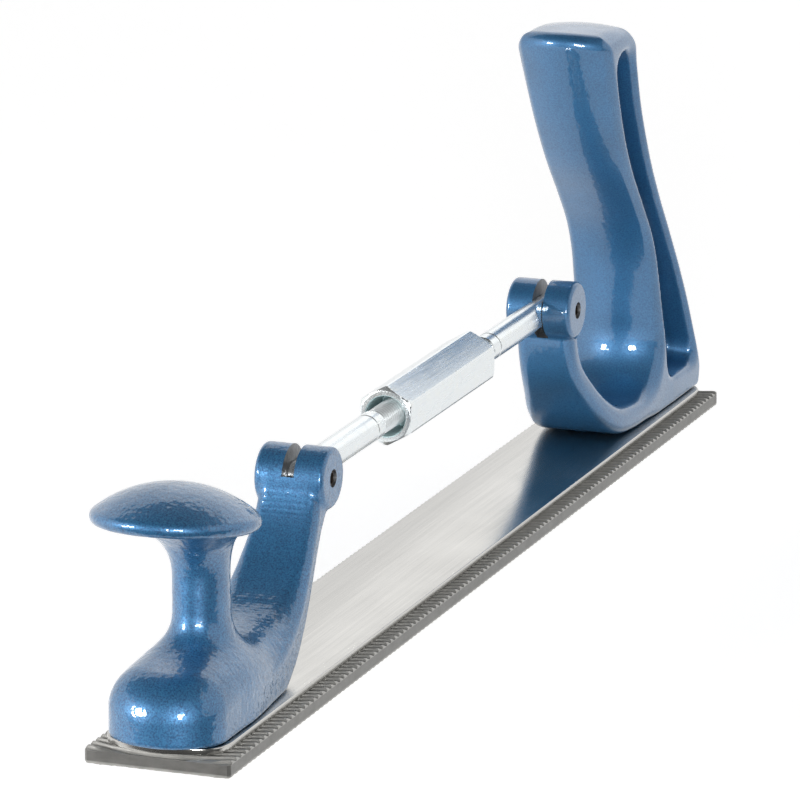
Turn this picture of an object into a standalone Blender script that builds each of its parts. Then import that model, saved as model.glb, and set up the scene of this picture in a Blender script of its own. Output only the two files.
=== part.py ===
"""Adjustable body file: a flexible milled blade on a spring strip, bent by a turnbuckle.

The blade and the strip lie along Y. The knob casting stands at the front (-Y), the tall
handle at the rear (+Y). A long hexagon nut with opposite threads spreads or draws two rods
that are pinned between the castings' forked lugs, and so bows the strip and the blade.

Sizes are millimetres. Stations along the tool count from a datum at the blade's front end.
"""

import math

import bmesh
import bpy
from mathutils import Vector

MM = 0.001
GAP = 0.3

# Blade
BLADE_FRONT = -1.0
BLADE_REAR = 352.0
BLADE_WIDTH = 35.0
BLADE_THICK = 4.2
TOOTH_PITCH = 2.8
TOOTH_DEPTH = 0.8
TOOTH_SWEEP = 3.6
TOOTH_RAKE = 0.28
END_LAND = 3.2

# Spring strip
STRIP_FRONT = -1.0
STRIP_REAR = 351.0
STRIP_WIDTH = 29.6
STRIP_THICK = 1.5
STRIP_END = 11.0
STRIP_Z = BLADE_THICK + GAP
BASE_Z = STRIP_Z + STRIP_THICK + GAP

# Pivots and turnbuckle
FRONT_PIN_Y = 86.8
REAR_PIN_Y = 261.5
PIN_Z = 46.0
PIN_R = 2.0
PIN_BORE_R = 1.25
PIN_SLIT = 0.9
PIN_HALF = 8.0
LUG_R = 7.3
LUG_HALF = 8.6
SLOT_HALF = 1.55
SLOT_R = 16.0
SLOT_AHEAD = 7.3
SLOT_ABOVE = 7.9
TONGUE_HALF = 1.25
TONGUE_LENGTH = 11.0
FLAT_CUTTER_R = 6.0
ROD_R = 3.5
THREAD_R = 3.15
SHANK_LENGTH = 49.0
ROD_LENGTH = 81.5
NUT_FLATS = 13.0
NUT_LENGTH = 60.0
NUT_BORE_R = THREAD_R + GAP
NUT_COUNTERBORE_R = 5.0
NUT_COUNTERBORE = 12.0

# Front casting
FOOT_FRONT = -4.2
FOOT_REAR = 44.0
FOOT_HALF = 13.6
KNOB_Y = 11.4
KNOB_Z = 54.9
KNOB_R = 19.2
KNOB_DOME = 8.5
KNOB_RIM_R = 2.2
KNOB_RIM_Z = 0.2
KNOB_TILT = math.radians(-6.9)

# Rear casting
HANDLE_TOP = 114.6
HANDLE_HALF = 12.4
HANDLE_CROWN = 1.6
WEB_HALF = 3.25
POCKET_FLOOR = 12.9
POCKET_TOP = 109.0
VALLEY_FRONT = 317.8
VALLEY_FLOOR = 12.3
VALLEY_TOP = 26.0
FRONT_FLANGE = 3.0
REAR_FLANGE = 3.6

# Hidden fixings
FRONT_SCREW_Y = 14.0
REAR_SCREW_Y = 337.0
SCREW_R = 2.8
SCREW_HEAD_R = 5.4
SCREW_SINK = 0.9
SCREW_TOP = 12.0
FRONT_RIVET_Y = 29.0
REAR_RIVET_Y = 303.0
RIVET_R = 1.9
RIVET_HEAD_R = 3.3
RIVET_TOP = 11.0

# The bend: the strip's middle between the two feet, on its mid-plane
BEND_Y = 162.0
BEND_Z = STRIP_Z + STRIP_THICK / 2

# The row's origin is under the middle of the whole length
MID = (BLADE_REAR + KNOB_Y - KNOB_R * math.cos(KNOB_TILT)) / 2

BLUE = (0.045, 0.16, 0.36, 1.0)
BRIGHT_STEEL = (0.66, 0.65, 0.62, 1.0)
FILE_STEEL = (0.34, 0.335, 0.31, 1.0)
ZINC = (0.72, 0.76, 0.76, 1.0)
DARK_STEEL = (0.035, 0.03, 0.027, 1.0)


def at(x, y, z):
    """A point of the tool in metres, with Y moved to the row's origin."""
    return Vector((x, y - MID, z)) * MM


def new_collection(name):
    collection = bpy.data.collections.new(name)
    bpy.context.scene.collection.children.link(collection)
    return collection


def new_material(name, colour, roughness, metallic):
    material = bpy.data.materials.new(name)
    material.use_nodes = True
    shader = material.node_tree.nodes["Principled BSDF"]
    shader.inputs["Base Color"].default_value = colour
    shader.inputs["Roughness"].default_value = roughness
    shader.inputs["Metallic"].default_value = metallic
    return material


def clear_scene():
    for obj in list(bpy.data.objects):
        bpy.data.objects.remove(obj)


def mesh_object(name, bm, collection):
    """Turn a bmesh into an object, smooth where its faces meet gently."""
    bmesh.ops.recalc_face_normals(bm, faces=bm.faces)
    mesh = bpy.data.meshes.new(name)
    bm.to_mesh(mesh)
    bm.free()
    mesh.shade_smooth()
    mesh.set_sharp_from_angle(angle=math.radians(40))
    obj = bpy.data.objects.new(name, mesh)
    collection.objects.link(obj)
    return obj


def hide_tool(obj):
    obj.hide_render = True
    obj.display_type = 'WIRE'
    return obj


def blend(stations, steps):
    """Run a smooth curve through rows of numbers, with a few rows between each two."""
    rows = []
    last = len(stations) - 1
    for i in range(last):
        a = stations[max(i - 1, 0)]
        b = stations[i]
        c = stations[i + 1]
        d = stations[min(i + 2, last)]
        for k in range(steps):
            t = k / steps
            rows.append([
                0.5 * (2 * q + (r - p) * t + (2 * p - 5 * q + 4 * r - s) * t ** 2
                       + (3 * q - p - 3 * r + s) * t ** 3)
                for p, q, r, s in zip(a, b, c, d)
            ])
    rows.append(list(stations[last]))
    return rows


def oval(half_u, half_v, squareness, count):
    """A closed outline between an ellipse (2) and a rectangle (large squareness)."""
    points = []
    for i in range(count):
        angle = 2 * math.pi * (i + 0.5) / count
        u = math.copysign(abs(math.cos(angle)) ** (2 / squareness), math.cos(angle))
        v = math.copysign(abs(math.sin(angle)) ** (2 / squareness), math.sin(angle))
        points.append((half_u * u, half_v * v))
    return points


def loft(name, rings, collection):
    """Skin a row of closed outlines that have the same number of points, and cap both ends."""
    bm = bmesh.new()
    loops = [[bm.verts.new(point) for point in ring] for ring in rings]
    count = len(rings[0])
    for low, high in zip(loops, loops[1:]):
        for i in range(count):
            j = (i + 1) % count
            bm.faces.new((low[i], low[j], high[j], high[i]))
    bm.faces.new(loops[0])
    bm.faces.new(loops[-1])
    return mesh_object(name, bm, collection)


def layers(name, rows, squareness, count, collection):
    """Loft level outlines. Each row is height, half width, front station and rear station."""
    rings = []
    for z, half, front, rear in rows:
        outline = oval(half, (rear - front) / 2, squareness, count)
        rings.append([at(x, (front + rear) / 2 + y, z) for x, y in outline])
    return loft(name, rings, collection)


def strap(name, rows, squareness, count, collection):
    """Loft a bent bar. Each row is station, height, half width and half thickness."""
    rings = []
    for i, (y, z, half, thick) in enumerate(rows):
        before = rows[max(i - 1, 0)]
        after = rows[min(i + 1, len(rows) - 1)]
        run = Vector((after[0] - before[0], after[1] - before[1])).normalized()
        rings.append([
            at(x, y - run.y * t, z + run.x * t)
            for x, t in oval(half, thick, squareness, count)
        ])
    return loft(name, rings, collection)


def turned(name, profile, centre, axis, segments, collection):
    """Turn a profile of radius and height pairs, listed top to bottom, about Z, X or Y."""
    bm = bmesh.new()
    closed = profile[0] == profile[-1]
    points = profile[:-1] if closed else profile
    verts = [bm.verts.new((radius * MM, 0, height * MM)) for radius, height in points]
    for a, b in zip(verts, verts[1:] + verts[:1] if closed else verts[1:]):
        bm.edges.new((a, b))
    mesh = bpy.data.meshes.new(name)
    bm.to_mesh(mesh)
    bm.free()
    obj = bpy.data.objects.new(name, mesh)
    collection.objects.link(obj)
    obj.location = centre
    if axis == 'X':
        obj.rotation_euler = (0, math.pi / 2, 0)
    if axis == 'Y':
        obj.rotation_euler = (-math.pi / 2, 0, 0)
    screw = obj.modifiers.new("Turn", 'SCREW')
    screw.steps = segments
    screw.render_steps = segments
    screw.use_merge_vertices = True
    screw.merge_threshold = 0.00002
    screw.use_smooth_shade = True
    return obj


def box(name, low, high, collection):
    """A box between two corners given in millimetres."""
    bm = bmesh.new()
    bmesh.ops.create_cube(bm, size=1)
    first = at(*low)
    last = at(*high)
    for vert in bm.verts:
        for k in range(3):
            vert.co[k] = first[k] if vert.co[k] < 0 else last[k]
    return mesh_object(name, bm, collection)


def combine(obj, other, operation):
    """Add or take away another shape with a Boolean modifier."""
    modifier = obj.modifiers.new(other.name, 'BOOLEAN')
    modifier.operation = operation
    modifier.object = hide_tool(other)
    modifier.solver = 'EXACT'


def move_origin(obj, point):
    """Put a piece's origin at a point and leave its shape where it is."""
    for vert in obj.data.vertices:
        vert.co -= point
    obj.location = point
    return obj


def new_empty(name, point, collection):
    empty = bpy.data.objects.new(name, None)
    empty.location = point
    empty.empty_display_size = 0.01
    collection.objects.link(empty)
    return empty


def hang(obj, material, parent):
    """Give a piece its material and hang it, where it is, on the empty that moves it."""
    obj.data.materials.append(material)
    obj.parent = parent
    obj.location -= parent.location


def countersunk(shank, head, cone, low, top):
    """The outline of a countersunk fixing about Z, from its end down to its head."""
    return [(0, top), (shank, top), (shank, cone + head - shank), (head, cone), (head, low), (0, low)]


def tooth_rows():
    """Rows across one face of the blade: station on the centre line, depth, sweep and half width.

    The ends are plain and rounded. Between them each tooth has a steep front and a long back,
    and the rows fall back toward the edges, so that each tooth is an arc.
    """
    half = BLADE_WIDTH / 2
    rows = [
        (BLADE_FRONT, 1.3, 0, half - 0.8),
        (BLADE_FRONT + 0.4, 0.4, 0, half - 0.3),
        (BLADE_FRONT + 1.3, 0, 0, half),
    ]
    first = BLADE_FRONT + END_LAND
    last = BLADE_REAR - END_LAND - TOOTH_SWEEP
    rows.append((first, 0, TOOTH_SWEEP, half))
    for i in range(int((last - first) / TOOTH_PITCH)):
        crest = first + (i + 1) * TOOTH_PITCH
        rows.append((crest - TOOTH_RAKE * TOOTH_PITCH, TOOTH_DEPTH, TOOTH_SWEEP, half))
        rows.append((crest, 0, TOOTH_SWEEP, half))
    rows += [
        (BLADE_REAR - 1.3, 0, 0, half),
        (BLADE_REAR - 0.4, 0.4, 0, half - 0.3),
        (BLADE_REAR, 1.3, 0, half - 0.8),
    ]
    return rows


def make_blade(collection, tools):
    """Skin the two toothed faces and close the edges between them."""
    columns = 4
    bm = bmesh.new()
    faces = []
    for top in (False, True):
        grid = []
        for y, depth, sweep, half in tooth_rows():
            line = []
            for j in range(columns + 1):
                u = 2 * j / columns - 1
                z = BLADE_THICK - depth if top else depth
                line.append(bm.verts.new(at(u * half, y + sweep * u * u, z)))
            grid.append(line)
        faces.append(grid)
    for grid in faces:
        for front, rear in zip(grid, grid[1:]):
            for j in range(columns):
                bm.faces.new((front[j], front[j + 1], rear[j + 1], rear[j]))
    low, high = faces
    for k in range(len(low) - 1):
        for j in (0, columns):
            bm.faces.new((low[k][j], low[k + 1][j], high[k + 1][j], high[k][j]))
    for k in (0, -1):
        for j in range(columns):
            bm.faces.new((low[k][j], low[k][j + 1], high[k][j + 1], high[k][j]))
    blade = mesh_object("file_blade", bm, collection)
    for end, y in (("front", FRONT_SCREW_Y), ("rear", REAR_SCREW_Y)):
        profile = countersunk(SCREW_R + GAP, SCREW_HEAD_R + GAP, SCREW_SINK + 0.4, -1, BLADE_THICK + 1)
        combine(blade, turned(end + "_blade_hole", profile, at(0, y, 0), 'Z', 24, tools), 'DIFFERENCE')
    return blade


def strip_outline(inset):
    """The strip's plan: straight sides and blunt rounded ends."""
    half = STRIP_WIDTH / 2 - inset
    end = STRIP_END - inset
    points = []
    for centre, turn in ((STRIP_FRONT + STRIP_END, math.pi), (STRIP_REAR - STRIP_END, 0)):
        for i in range(13):
            angle = turn + math.pi * i / 12
            u = math.cos(angle)
            v = math.sin(angle)
            points.append((
                math.copysign(abs(u) ** 0.8, u) * half,
                centre + math.copysign(abs(v) ** 0.8, v) * end,
            ))
    return points


def make_strip(collection, tools):
    rings = []
    for inset, z in ((0.5, 0), (0, 0.4), (0, STRIP_THICK - 0.5), (0.6, STRIP_THICK)):
        rings.append([at(x, y, STRIP_Z + z) for x, y in strip_outline(inset)])
    strip = loft("spring_strip", rings, collection)
    for end, y in (("front", FRONT_SCREW_Y), ("rear", REAR_SCREW_Y)):
        profile = [(0, 10), (SCREW_R + GAP, 10), (SCREW_R + GAP, 0), (0, 0)]
        combine(strip, turned(end + "_strip_hole", profile, at(0, y, 0), 'Z', 24, tools), 'DIFFERENCE')
    for end, y in (("front", FRONT_RIVET_Y), ("rear", REAR_RIVET_Y)):
        profile = countersunk(RIVET_R + GAP, RIVET_HEAD_R + GAP, STRIP_Z + 0.25, STRIP_Z - 1, STRIP_Z + 5)
        combine(strip, turned(end + "_rivet_hole", profile, at(0, y, 0), 'Z', 20, tools), 'DIFFERENCE')
    return strip


def add_lug(casting, end, pin_y, toward, tools):
    """Add the round lug, slot it with a disc cutter, bore it for the pin and face the base."""
    profile = [(0, LUG_HALF), (LUG_R - 0.9, LUG_HALF), (LUG_R - 0.25, LUG_HALF - 0.25)]
    profile += [(LUG_R, LUG_HALF - 0.9)]
    profile += [(radius, -height) for radius, height in reversed(profile)]
    pin = at(0, pin_y, PIN_Z)
    combine(casting, turned(end + "_lug", profile, pin, 'X', 32, tools), 'UNION')
    disc = [(0, SLOT_HALF), (SLOT_R, SLOT_HALF), (SLOT_R, -SLOT_HALF), (0, -SLOT_HALF)]
    centre = at(0, pin_y + toward * SLOT_AHEAD, PIN_Z + SLOT_ABOVE)
    combine(casting, turned(end + "_slot", disc, centre, 'X', 48, tools), 'DIFFERENCE')
    hole = [(0, 20), (PIN_R + GAP, 20), (PIN_R + GAP, -20), (0, -20)]
    combine(casting, turned(end + "_pin_hole", hole, pin, 'X', 20, tools), 'DIFFERENCE')
    face = box(end + "_base_face", (-30, pin_y - 150, BASE_Z - 8), (30, pin_y + 150, BASE_Z), tools)
    combine(casting, face, 'DIFFERENCE')


def add_fixing_holes(casting, end, screw_y, rivet_y, tools):
    for name, y, radius, top in (
        ("screw", screw_y, SCREW_R, SCREW_TOP), ("rivet", rivet_y, RIVET_R, RIVET_TOP)
    ):
        profile = [(0, top + GAP), (radius + GAP, top + GAP), (radius + GAP, 0), (0, 0)]
        hole = turned("%s_%s_socket" % (end, name), profile, at(0, y, 0), 'Z', 20, tools)
        combine(casting, hole, 'DIFFERENCE')


def knob_profile():
    """The cap's half section: a spherical dome that runs into a round rim and a flat underside."""
    reach = KNOB_R - KNOB_RIM_R
    rise = KNOB_DOME - KNOB_RIM_Z
    sphere = (reach ** 2 + rise ** 2 - KNOB_RIM_R ** 2) / (2 * (rise - KNOB_RIM_R))
    centre = KNOB_DOME - sphere
    top = math.atan2(KNOB_RIM_Z - centre, reach)
    profile = [(0, KNOB_DOME)]
    for k in range(1, 5):
        angle = math.pi / 2 + (top - math.pi / 2) * k / 5
        profile.append((sphere * math.cos(angle), centre + sphere * math.sin(angle)))
    for k in range(6):
        angle = top + (-math.pi / 2 - top) * k / 5
        profile.append((reach + KNOB_RIM_R * math.cos(angle), KNOB_RIM_Z + KNOB_RIM_R * math.sin(angle)))
    return profile + [(0, KNOB_RIM_Z - KNOB_RIM_R)]


def make_front_casting(collection, tools):
    """A shoe-like foot with a mushroom knob on a stem, and an arm up to the forked lug."""
    rows = [
        (BASE_Z - 0.6, FOOT_HALF - 0.3, FOOT_FRONT + 0.4, FOOT_REAR),
        (8.0, FOOT_HALF, FOOT_FRONT, FOOT_REAR),
        (11.0, FOOT_HALF, FOOT_FRONT, FOOT_REAR),
        (14.0, FOOT_HALF - 0.3, FOOT_FRONT + 0.4, FOOT_REAR),
        (16.5, FOOT_HALF - 0.9, FOOT_FRONT + 1.2, FOOT_REAR),
        (18.6, FOOT_HALF - 2.0, FOOT_FRONT + 2.7, FOOT_REAR - 1),
        (20.6, FOOT_HALF - 3.9, FOOT_FRONT + 5.4, FOOT_REAR - 2),
        (22.4, FOOT_HALF - 6.6, FOOT_FRONT + 9.4, FOOT_REAR - 5),
    ]
    casting = layers("front_casting", rows, 3.8, 28, collection)

    stem_rows = [
        (18.0, 11.4, 8.0, 41.0), (22.5, 9.0, 12.6, 37.4), (27.0, 7.2, 17.0, 34.8),
        (34.0, 6.5, 19.0, 33.6), (41.0, 6.6, 18.8, 33.2), (46.0, 8.2, 15.5, 32.6),
        (49.5, 10.6, 11.5, 31.0), (51.5, 12.2, 8.0, 28.6),
    ]
    stem = layers("knob_stem", blend(stem_rows, 2), 2.2, 18, tools)
    combine(casting, stem, 'UNION')

    knob = turned("knob_cap", knob_profile(), at(0, KNOB_Y, KNOB_Z), 'Z', 28, tools)
    knob.rotation_euler = (KNOB_TILT, 0, 0)
    combine(casting, knob, 'UNION')

    arm_rows = [
        (30.0, 12.7, 12.6, 7.2), (46.0, 13.2, 12.4, 6.7), (57.0, 15.9, 11.5, 5.7),
        (65.0, 20.6, 10.2, 4.8), (71.3, 26.0, 9.1, 4.2), (76.5, 31.6, 8.3, 3.9),
        (80.6, 37.0, 7.9, 4.1), (84.4, 42.6, 7.6, 4.8),
    ]
    arm = strap("front_arm", blend(arm_rows, 2), 3.2, 20, tools)
    combine(casting, arm, 'UNION')
    add_lug(casting, "front", FRONT_PIN_Y, 1, tools)
    add_fixing_holes(casting, "front", FRONT_SCREW_Y, FRONT_RIVET_Y, tools)
    return casting


def handle_rows():
    """The handle's S-shaped outline: height, half width, front and rear stations, and crown.

    The crown is the share of the front's full bulge. It fades out in the valley, and in the waist,
    where the space for the fingers is narrowest.
    """
    return [
        (BASE_Z - 0.6, 12.6, 304.0, 350.6, 0),
        (8.4, 12.8, 302.0, 351.6, 0),
        (VALLEY_FLOOR, 12.8, 299.0, 351.4, 0),
        (13.5, 12.9, 305.5, 350.9, 0.1),
        (15.2, 12.9, 311.2, 350.3, 0.3),
        (18.2, 12.8, 315.3, 349.1, 0.6),
        (22.0, 12.5, 317.3, 347.6, 0.85),
        (VALLEY_TOP, 12.3, VALLEY_FRONT, 345.9, 1),
        (33.0, 12.0, 317.0, 342.6, 1),
        (41.0, 11.8, 315.4, 337.6, 1),
        (49.0, 11.6, 313.0, 332.1, 0.9),
        (57.0, 11.5, 308.7, 326.5, 0.4),
        (66.0, 11.5, 301.4, 320.0, 0.8),
        (77.5, 11.6, 291.6, 312.2, 1),
        (90.5, 11.9, 283.0, 304.5, 1),
        (102.0, 12.3, 276.9, 299.6, 1),
        (110.5, HANDLE_HALF, 273.0, 296.9, 1),
    ]


def handle_edges(z):
    """The handle's front and rear stations at a height."""
    rows = handle_rows()
    for low, high in zip(rows, rows[1:]):
        if z <= high[0]:
            t = (z - low[0]) / (high[0] - low[0])
            return low[2] + t * (high[2] - low[2]), low[3] + t * (high[3] - low[3])
    return rows[-1][2], rows[-1][3]


def pocket_ring(x, inset):
    """The lightening pocket's outline at one depth, inside the handle's flanges."""
    steps = 14
    front_side = []
    rear_side = []
    for k in range(steps + 1):
        share = (1 - math.cos(math.pi * k / steps)) / 2
        z = POCKET_FLOOR + inset + share * (POCKET_TOP - POCKET_FLOOR - 2 * inset)
        front, rear = handle_edges(z)
        if z < VALLEY_TOP:
            front = VALLEY_FRONT
        first = front + FRONT_FLANGE + inset
        last = rear - REAR_FLANGE - inset
        corner = 1 - min(1, min(share, 1 - share) / 0.06)
        pinch = (last - first) * 0.28 * (1 - math.sqrt(1 - corner ** 2))
        front_side.append(at(x, first + pinch, z))
        rear_side.append(at(x, last - pinch, z))
    return front_side + rear_side[::-1]


def grip_ring(z, half, front, rear, crown):
    """The handle's section at one height: a crowned front, plain sides and a nearly flat back."""
    points = []
    for u in (-0.95, -0.65, -0.33, 0, 0.33, 0.65, 0.95):
        points.append((half * u, front + 0.6 * u ** 8 - crown * HANDLE_CROWN * (1 - u * u)))
    points += [(half, front + 1.6), (half, (front + rear) / 2), (half, rear - 1.8)]
    points += [(half * u, rear - 0.5 * u ** 8) for u in (0.94, 0.5, -0.5, -0.94)]
    points += [(-half, rear - 1.8), (-half, (front + rear) / 2), (-half, front + 1.6)]
    return [at(x, y, z) for x, y in points]


def make_rear_casting(collection, tools):
    """A foot that turns up into a forked lug in front and into a tall pocketed handle behind."""
    rows = handle_rows() + [
        (112.9, HANDLE_HALF - 0.5, 273.5, 296.2, 1),
        (114.1, HANDLE_HALF - 1.6, 274.7, 295.0, 0.9),
        (HANDLE_TOP, HANDLE_HALF - 3.4, 276.5, 293.2, 0.8),
    ]
    casting = loft("rear_casting", [grip_ring(*row) for row in rows], collection)
    arm_rows = [
        (262.6, 43.0, 7.4, 3.6), (263.0, 36.0, 7.6, 3.5), (265.8, 29.0, 8.0, 3.4),
        (271.0, 21.8, 9.2, 3.4), (278.0, 14.9, 10.9, 3.5), (287.0, 10.5, 12.2, 3.6),
        (299.0, 9.2, 12.7, 3.5), (314.0, 9.2, 12.7, 3.5), (334.0, 9.2, 12.5, 3.5),
    ]
    arm = strap("rear_arm", blend(arm_rows, 2), 3.6, 20, tools)
    combine(casting, arm, 'UNION')
    for name, side in (("right", 1), ("left", -1)):
        depths = ((WEB_HALF, 2.2), (WEB_HALF + 0.9, 0.9), (WEB_HALF + 2.6, 0.3), (16.0, -0.4))
        pocket = loft(name + "_pocket", [pocket_ring(side * x, inset) for x, inset in depths], tools)
        combine(casting, pocket, 'DIFFERENCE')
    add_lug(casting, "rear", REAR_PIN_Y, -1, tools)
    add_fixing_holes(casting, "rear", REAR_SCREW_Y, REAR_RIVET_Y, tools)
    return casting


def make_rod(name, pin_y, direction, collection, tools):
    """A round bar with its end milled flat and rounded for the pin, and a reduced threaded end."""
    rows = []
    for angle in (8, 30, 55, 90):
        along = -ROD_R * math.cos(math.radians(angle))
        rows.append((along, TONGUE_HALF, ROD_R * math.sin(math.radians(angle)), 6))
    run = math.sqrt(FLAT_CUTTER_R ** 2 - (FLAT_CUTTER_R + TONGUE_HALF - ROD_R) ** 2)
    for share, squareness in ((0, 6), (0.4, 5), (0.7, 3.6), (0.9, 2.6), (1, 2)):
        flat = TONGUE_HALF + FLAT_CUTTER_R - math.sqrt(FLAT_CUTTER_R ** 2 - (share * run) ** 2)
        rows.append((TONGUE_LENGTH + share * run, flat, ROD_R, squareness))
    rows += [
        (SHANK_LENGTH - 0.6, ROD_R, ROD_R, 2), (SHANK_LENGTH, THREAD_R, THREAD_R, 2),
        (ROD_LENGTH - 1, THREAD_R, THREAD_R, 2), (ROD_LENGTH, THREAD_R - 0.8, THREAD_R - 0.8, 2),
    ]
    rings = []
    for along, half_x, half_z, squareness in rows:
        outline = oval(half_x, half_z, squareness, 20)
        rings.append([at(x, pin_y + direction * along, PIN_Z + z) for x, z in outline])
    rod = loft(name, rings, collection)
    hole = [(0, 10), (PIN_R + GAP, 10), (PIN_R + GAP, -10), (0, -10)]
    combine(rod, turned(name + "_eye", hole, at(0, pin_y, PIN_Z), 'X', 20, tools), 'DIFFERENCE')
    return rod


def make_nut(collection, tools):
    """A long hexagon bar, points up, with turned chamfers and a counterbored hole."""
    middle = at(0, (FRONT_PIN_Y + REAR_PIN_Y) / 2, PIN_Z)
    corner = NUT_FLATS / 2 / math.cos(math.pi / 6)
    half = NUT_LENGTH / 2
    bm = bmesh.new()
    bmesh.ops.create_cone(
        bm, cap_ends=True, segments=6, radius1=corner * MM, radius2=corner * MM, depth=NUT_LENGTH * MM
    )
    nut = mesh_object("turnbuckle_nut", bm, collection)
    nut.location = middle
    nut.rotation_euler = (-math.pi / 2, 0, 0)
    rim = NUT_FLATS / 2 - 0.2
    drop = (corner + 1 - rim) * math.tan(math.radians(30))
    barrel = [(0, half), (rim, half), (corner + 1, half - drop)]
    barrel += [(radius, -height) for radius, height in reversed(barrel)]
    combine(nut, turned("nut_chamfer", barrel, middle, 'Y', 36, tools), 'INTERSECT')
    step = half - NUT_COUNTERBORE
    bore = [(0, half + 5), (NUT_COUNTERBORE_R, half + 5), (NUT_COUNTERBORE_R, step)]
    bore += [(NUT_BORE_R, step - 0.8)]
    bore += [(radius, -height) for radius, height in reversed(bore)]
    combine(nut, turned("nut_bore", bore, middle, 'Y', 24, tools), 'DIFFERENCE')
    return nut


def make_pin(name, pin_y, collection, tools):
    """A rolled spring pin: a short tube with a slit along it."""
    profile = [(PIN_BORE_R, PIN_HALF), (PIN_R - 0.35, PIN_HALF), (PIN_R, PIN_HALF - 0.6)]
    profile += [(radius, -height) for radius, height in reversed(profile)]
    profile.append(profile[0])
    pin = turned(name, profile, at(0, pin_y, PIN_Z), 'X', 20, collection)
    slit = box(
        name + "_slit", (-PIN_HALF - 2, pin_y - PIN_R - 1, PIN_Z - PIN_SLIT / 2),
        (PIN_HALF + 2, pin_y, PIN_Z + PIN_SLIT / 2), tools
    )
    combine(pin, slit, 'DIFFERENCE')
    return pin


def make_blade_screw(name, y, collection):
    """The countersunk screw that draws the blade up against the strip and the casting."""
    profile = countersunk(SCREW_R, SCREW_HEAD_R, SCREW_SINK + 0.4, SCREW_SINK, SCREW_TOP)
    return turned(name, profile, at(0, y, 0), 'Z', 24, collection)


def make_strip_rivet(name, y, collection):
    """The countersunk rivet that keeps the strip on its casting when the blade is off."""
    profile = countersunk(RIVET_R, RIVET_HEAD_R, STRIP_Z + 0.25, STRIP_Z, RIVET_TOP)
    return turned(name, profile, at(0, y, 0), 'Z', 20, collection)


def main():
    clear_scene()
    parts = new_collection("body_file")
    tools = new_collection("body_file_tools")

    paint = new_material("blue hammered paint", BLUE, 0.35, 0.3)
    bright = new_material("brushed spring steel", BRIGHT_STEEL, 0.35, 1.0)
    file_steel = new_material("file steel", FILE_STEEL, 0.5, 1.0)
    zinc = new_material("zinc plate", ZINC, 0.3, 1.0)
    dark = new_material("dark steel", DARK_STEEL, 0.5, 0.8)

    front = new_empty("front_body", Vector((0, 0, 0)), tools)
    bend = new_empty("bend_axis", at(0, BEND_Y, BEND_Z), tools)
    hang(make_blade(parts, tools), file_steel, front)
    hang(make_strip(parts, tools), bright, front)
    hang(make_front_casting(parts, tools), paint, front)
    hang(make_pin("front_pivot_pin", FRONT_PIN_Y, parts, tools), dark, front)
    hang(make_blade_screw("front_blade_screw", FRONT_SCREW_Y, parts), zinc, front)
    hang(make_strip_rivet("front_strip_rivet", FRONT_RIVET_Y, parts), zinc, front)

    hang(move_origin(make_rear_casting(parts, tools), at(0, REAR_PIN_Y, BASE_Z)), paint, bend)
    hang(make_pin("rear_pivot_pin", REAR_PIN_Y, parts, tools), dark, bend)
    hang(make_blade_screw("rear_blade_screw", REAR_SCREW_Y, parts), zinc, bend)
    hang(make_strip_rivet("rear_strip_rivet", REAR_RIVET_Y, parts), zinc, bend)

    front_rod = make_rod("front_rod", FRONT_PIN_Y, 1, parts, tools)
    hang(move_origin(front_rod, at(0, FRONT_PIN_Y, PIN_Z)), zinc, front)
    rear_rod = make_rod("rear_rod", REAR_PIN_Y, -1, parts, tools)
    hang(move_origin(rear_rod, at(0, REAR_PIN_Y, PIN_Z)), zinc, bend)
    hang(make_nut(parts, tools), zinc, front)


if __name__ == "__main__":
    main()
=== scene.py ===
"""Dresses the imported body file: painted castings, toothed blade, brushed strip and turnbuckle.

Stations and sizes of the pieces are millimetres, and the stage's sheets and lamps are in metres. A
station counts along the tool from a datum near the blade's front end, and at() turns it into the
frame's metres.
"""

import math

import bmesh
import bpy
import numpy as np
from bpy.props import FloatProperty, FloatVectorProperty, PointerProperty
from mathutils import Matrix, Vector


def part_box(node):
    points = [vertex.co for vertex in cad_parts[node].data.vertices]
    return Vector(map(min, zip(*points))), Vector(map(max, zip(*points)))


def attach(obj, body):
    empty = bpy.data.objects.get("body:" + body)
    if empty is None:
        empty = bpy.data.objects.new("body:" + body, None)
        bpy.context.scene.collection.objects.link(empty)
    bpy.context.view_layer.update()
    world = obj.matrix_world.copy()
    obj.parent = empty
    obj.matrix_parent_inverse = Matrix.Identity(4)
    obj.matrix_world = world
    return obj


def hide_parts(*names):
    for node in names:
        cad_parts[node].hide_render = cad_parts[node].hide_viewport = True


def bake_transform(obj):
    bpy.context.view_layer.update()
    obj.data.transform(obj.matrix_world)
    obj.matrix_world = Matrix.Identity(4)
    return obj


bl_info = {
    "name": "Body File",
    "version": (1, 0, 0),
    "blender": (4, 5, 0),
    "location": "View3D > Sidebar > Body File",
    "description": "Builds the castings, blade, strip and turnbuckle of an adjustable body file",
    "category": "Object",
}

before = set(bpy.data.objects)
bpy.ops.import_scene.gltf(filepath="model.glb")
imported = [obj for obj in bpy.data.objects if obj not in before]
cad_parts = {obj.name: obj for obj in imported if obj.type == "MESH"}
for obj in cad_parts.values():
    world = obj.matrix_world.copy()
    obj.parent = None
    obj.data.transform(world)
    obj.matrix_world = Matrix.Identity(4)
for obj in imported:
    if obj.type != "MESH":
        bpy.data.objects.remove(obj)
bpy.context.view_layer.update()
FRAME_MATERIALS = {material.name for material in bpy.data.materials}

MM = 0.001
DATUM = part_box("file_blade")[0][1] + MM

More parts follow.
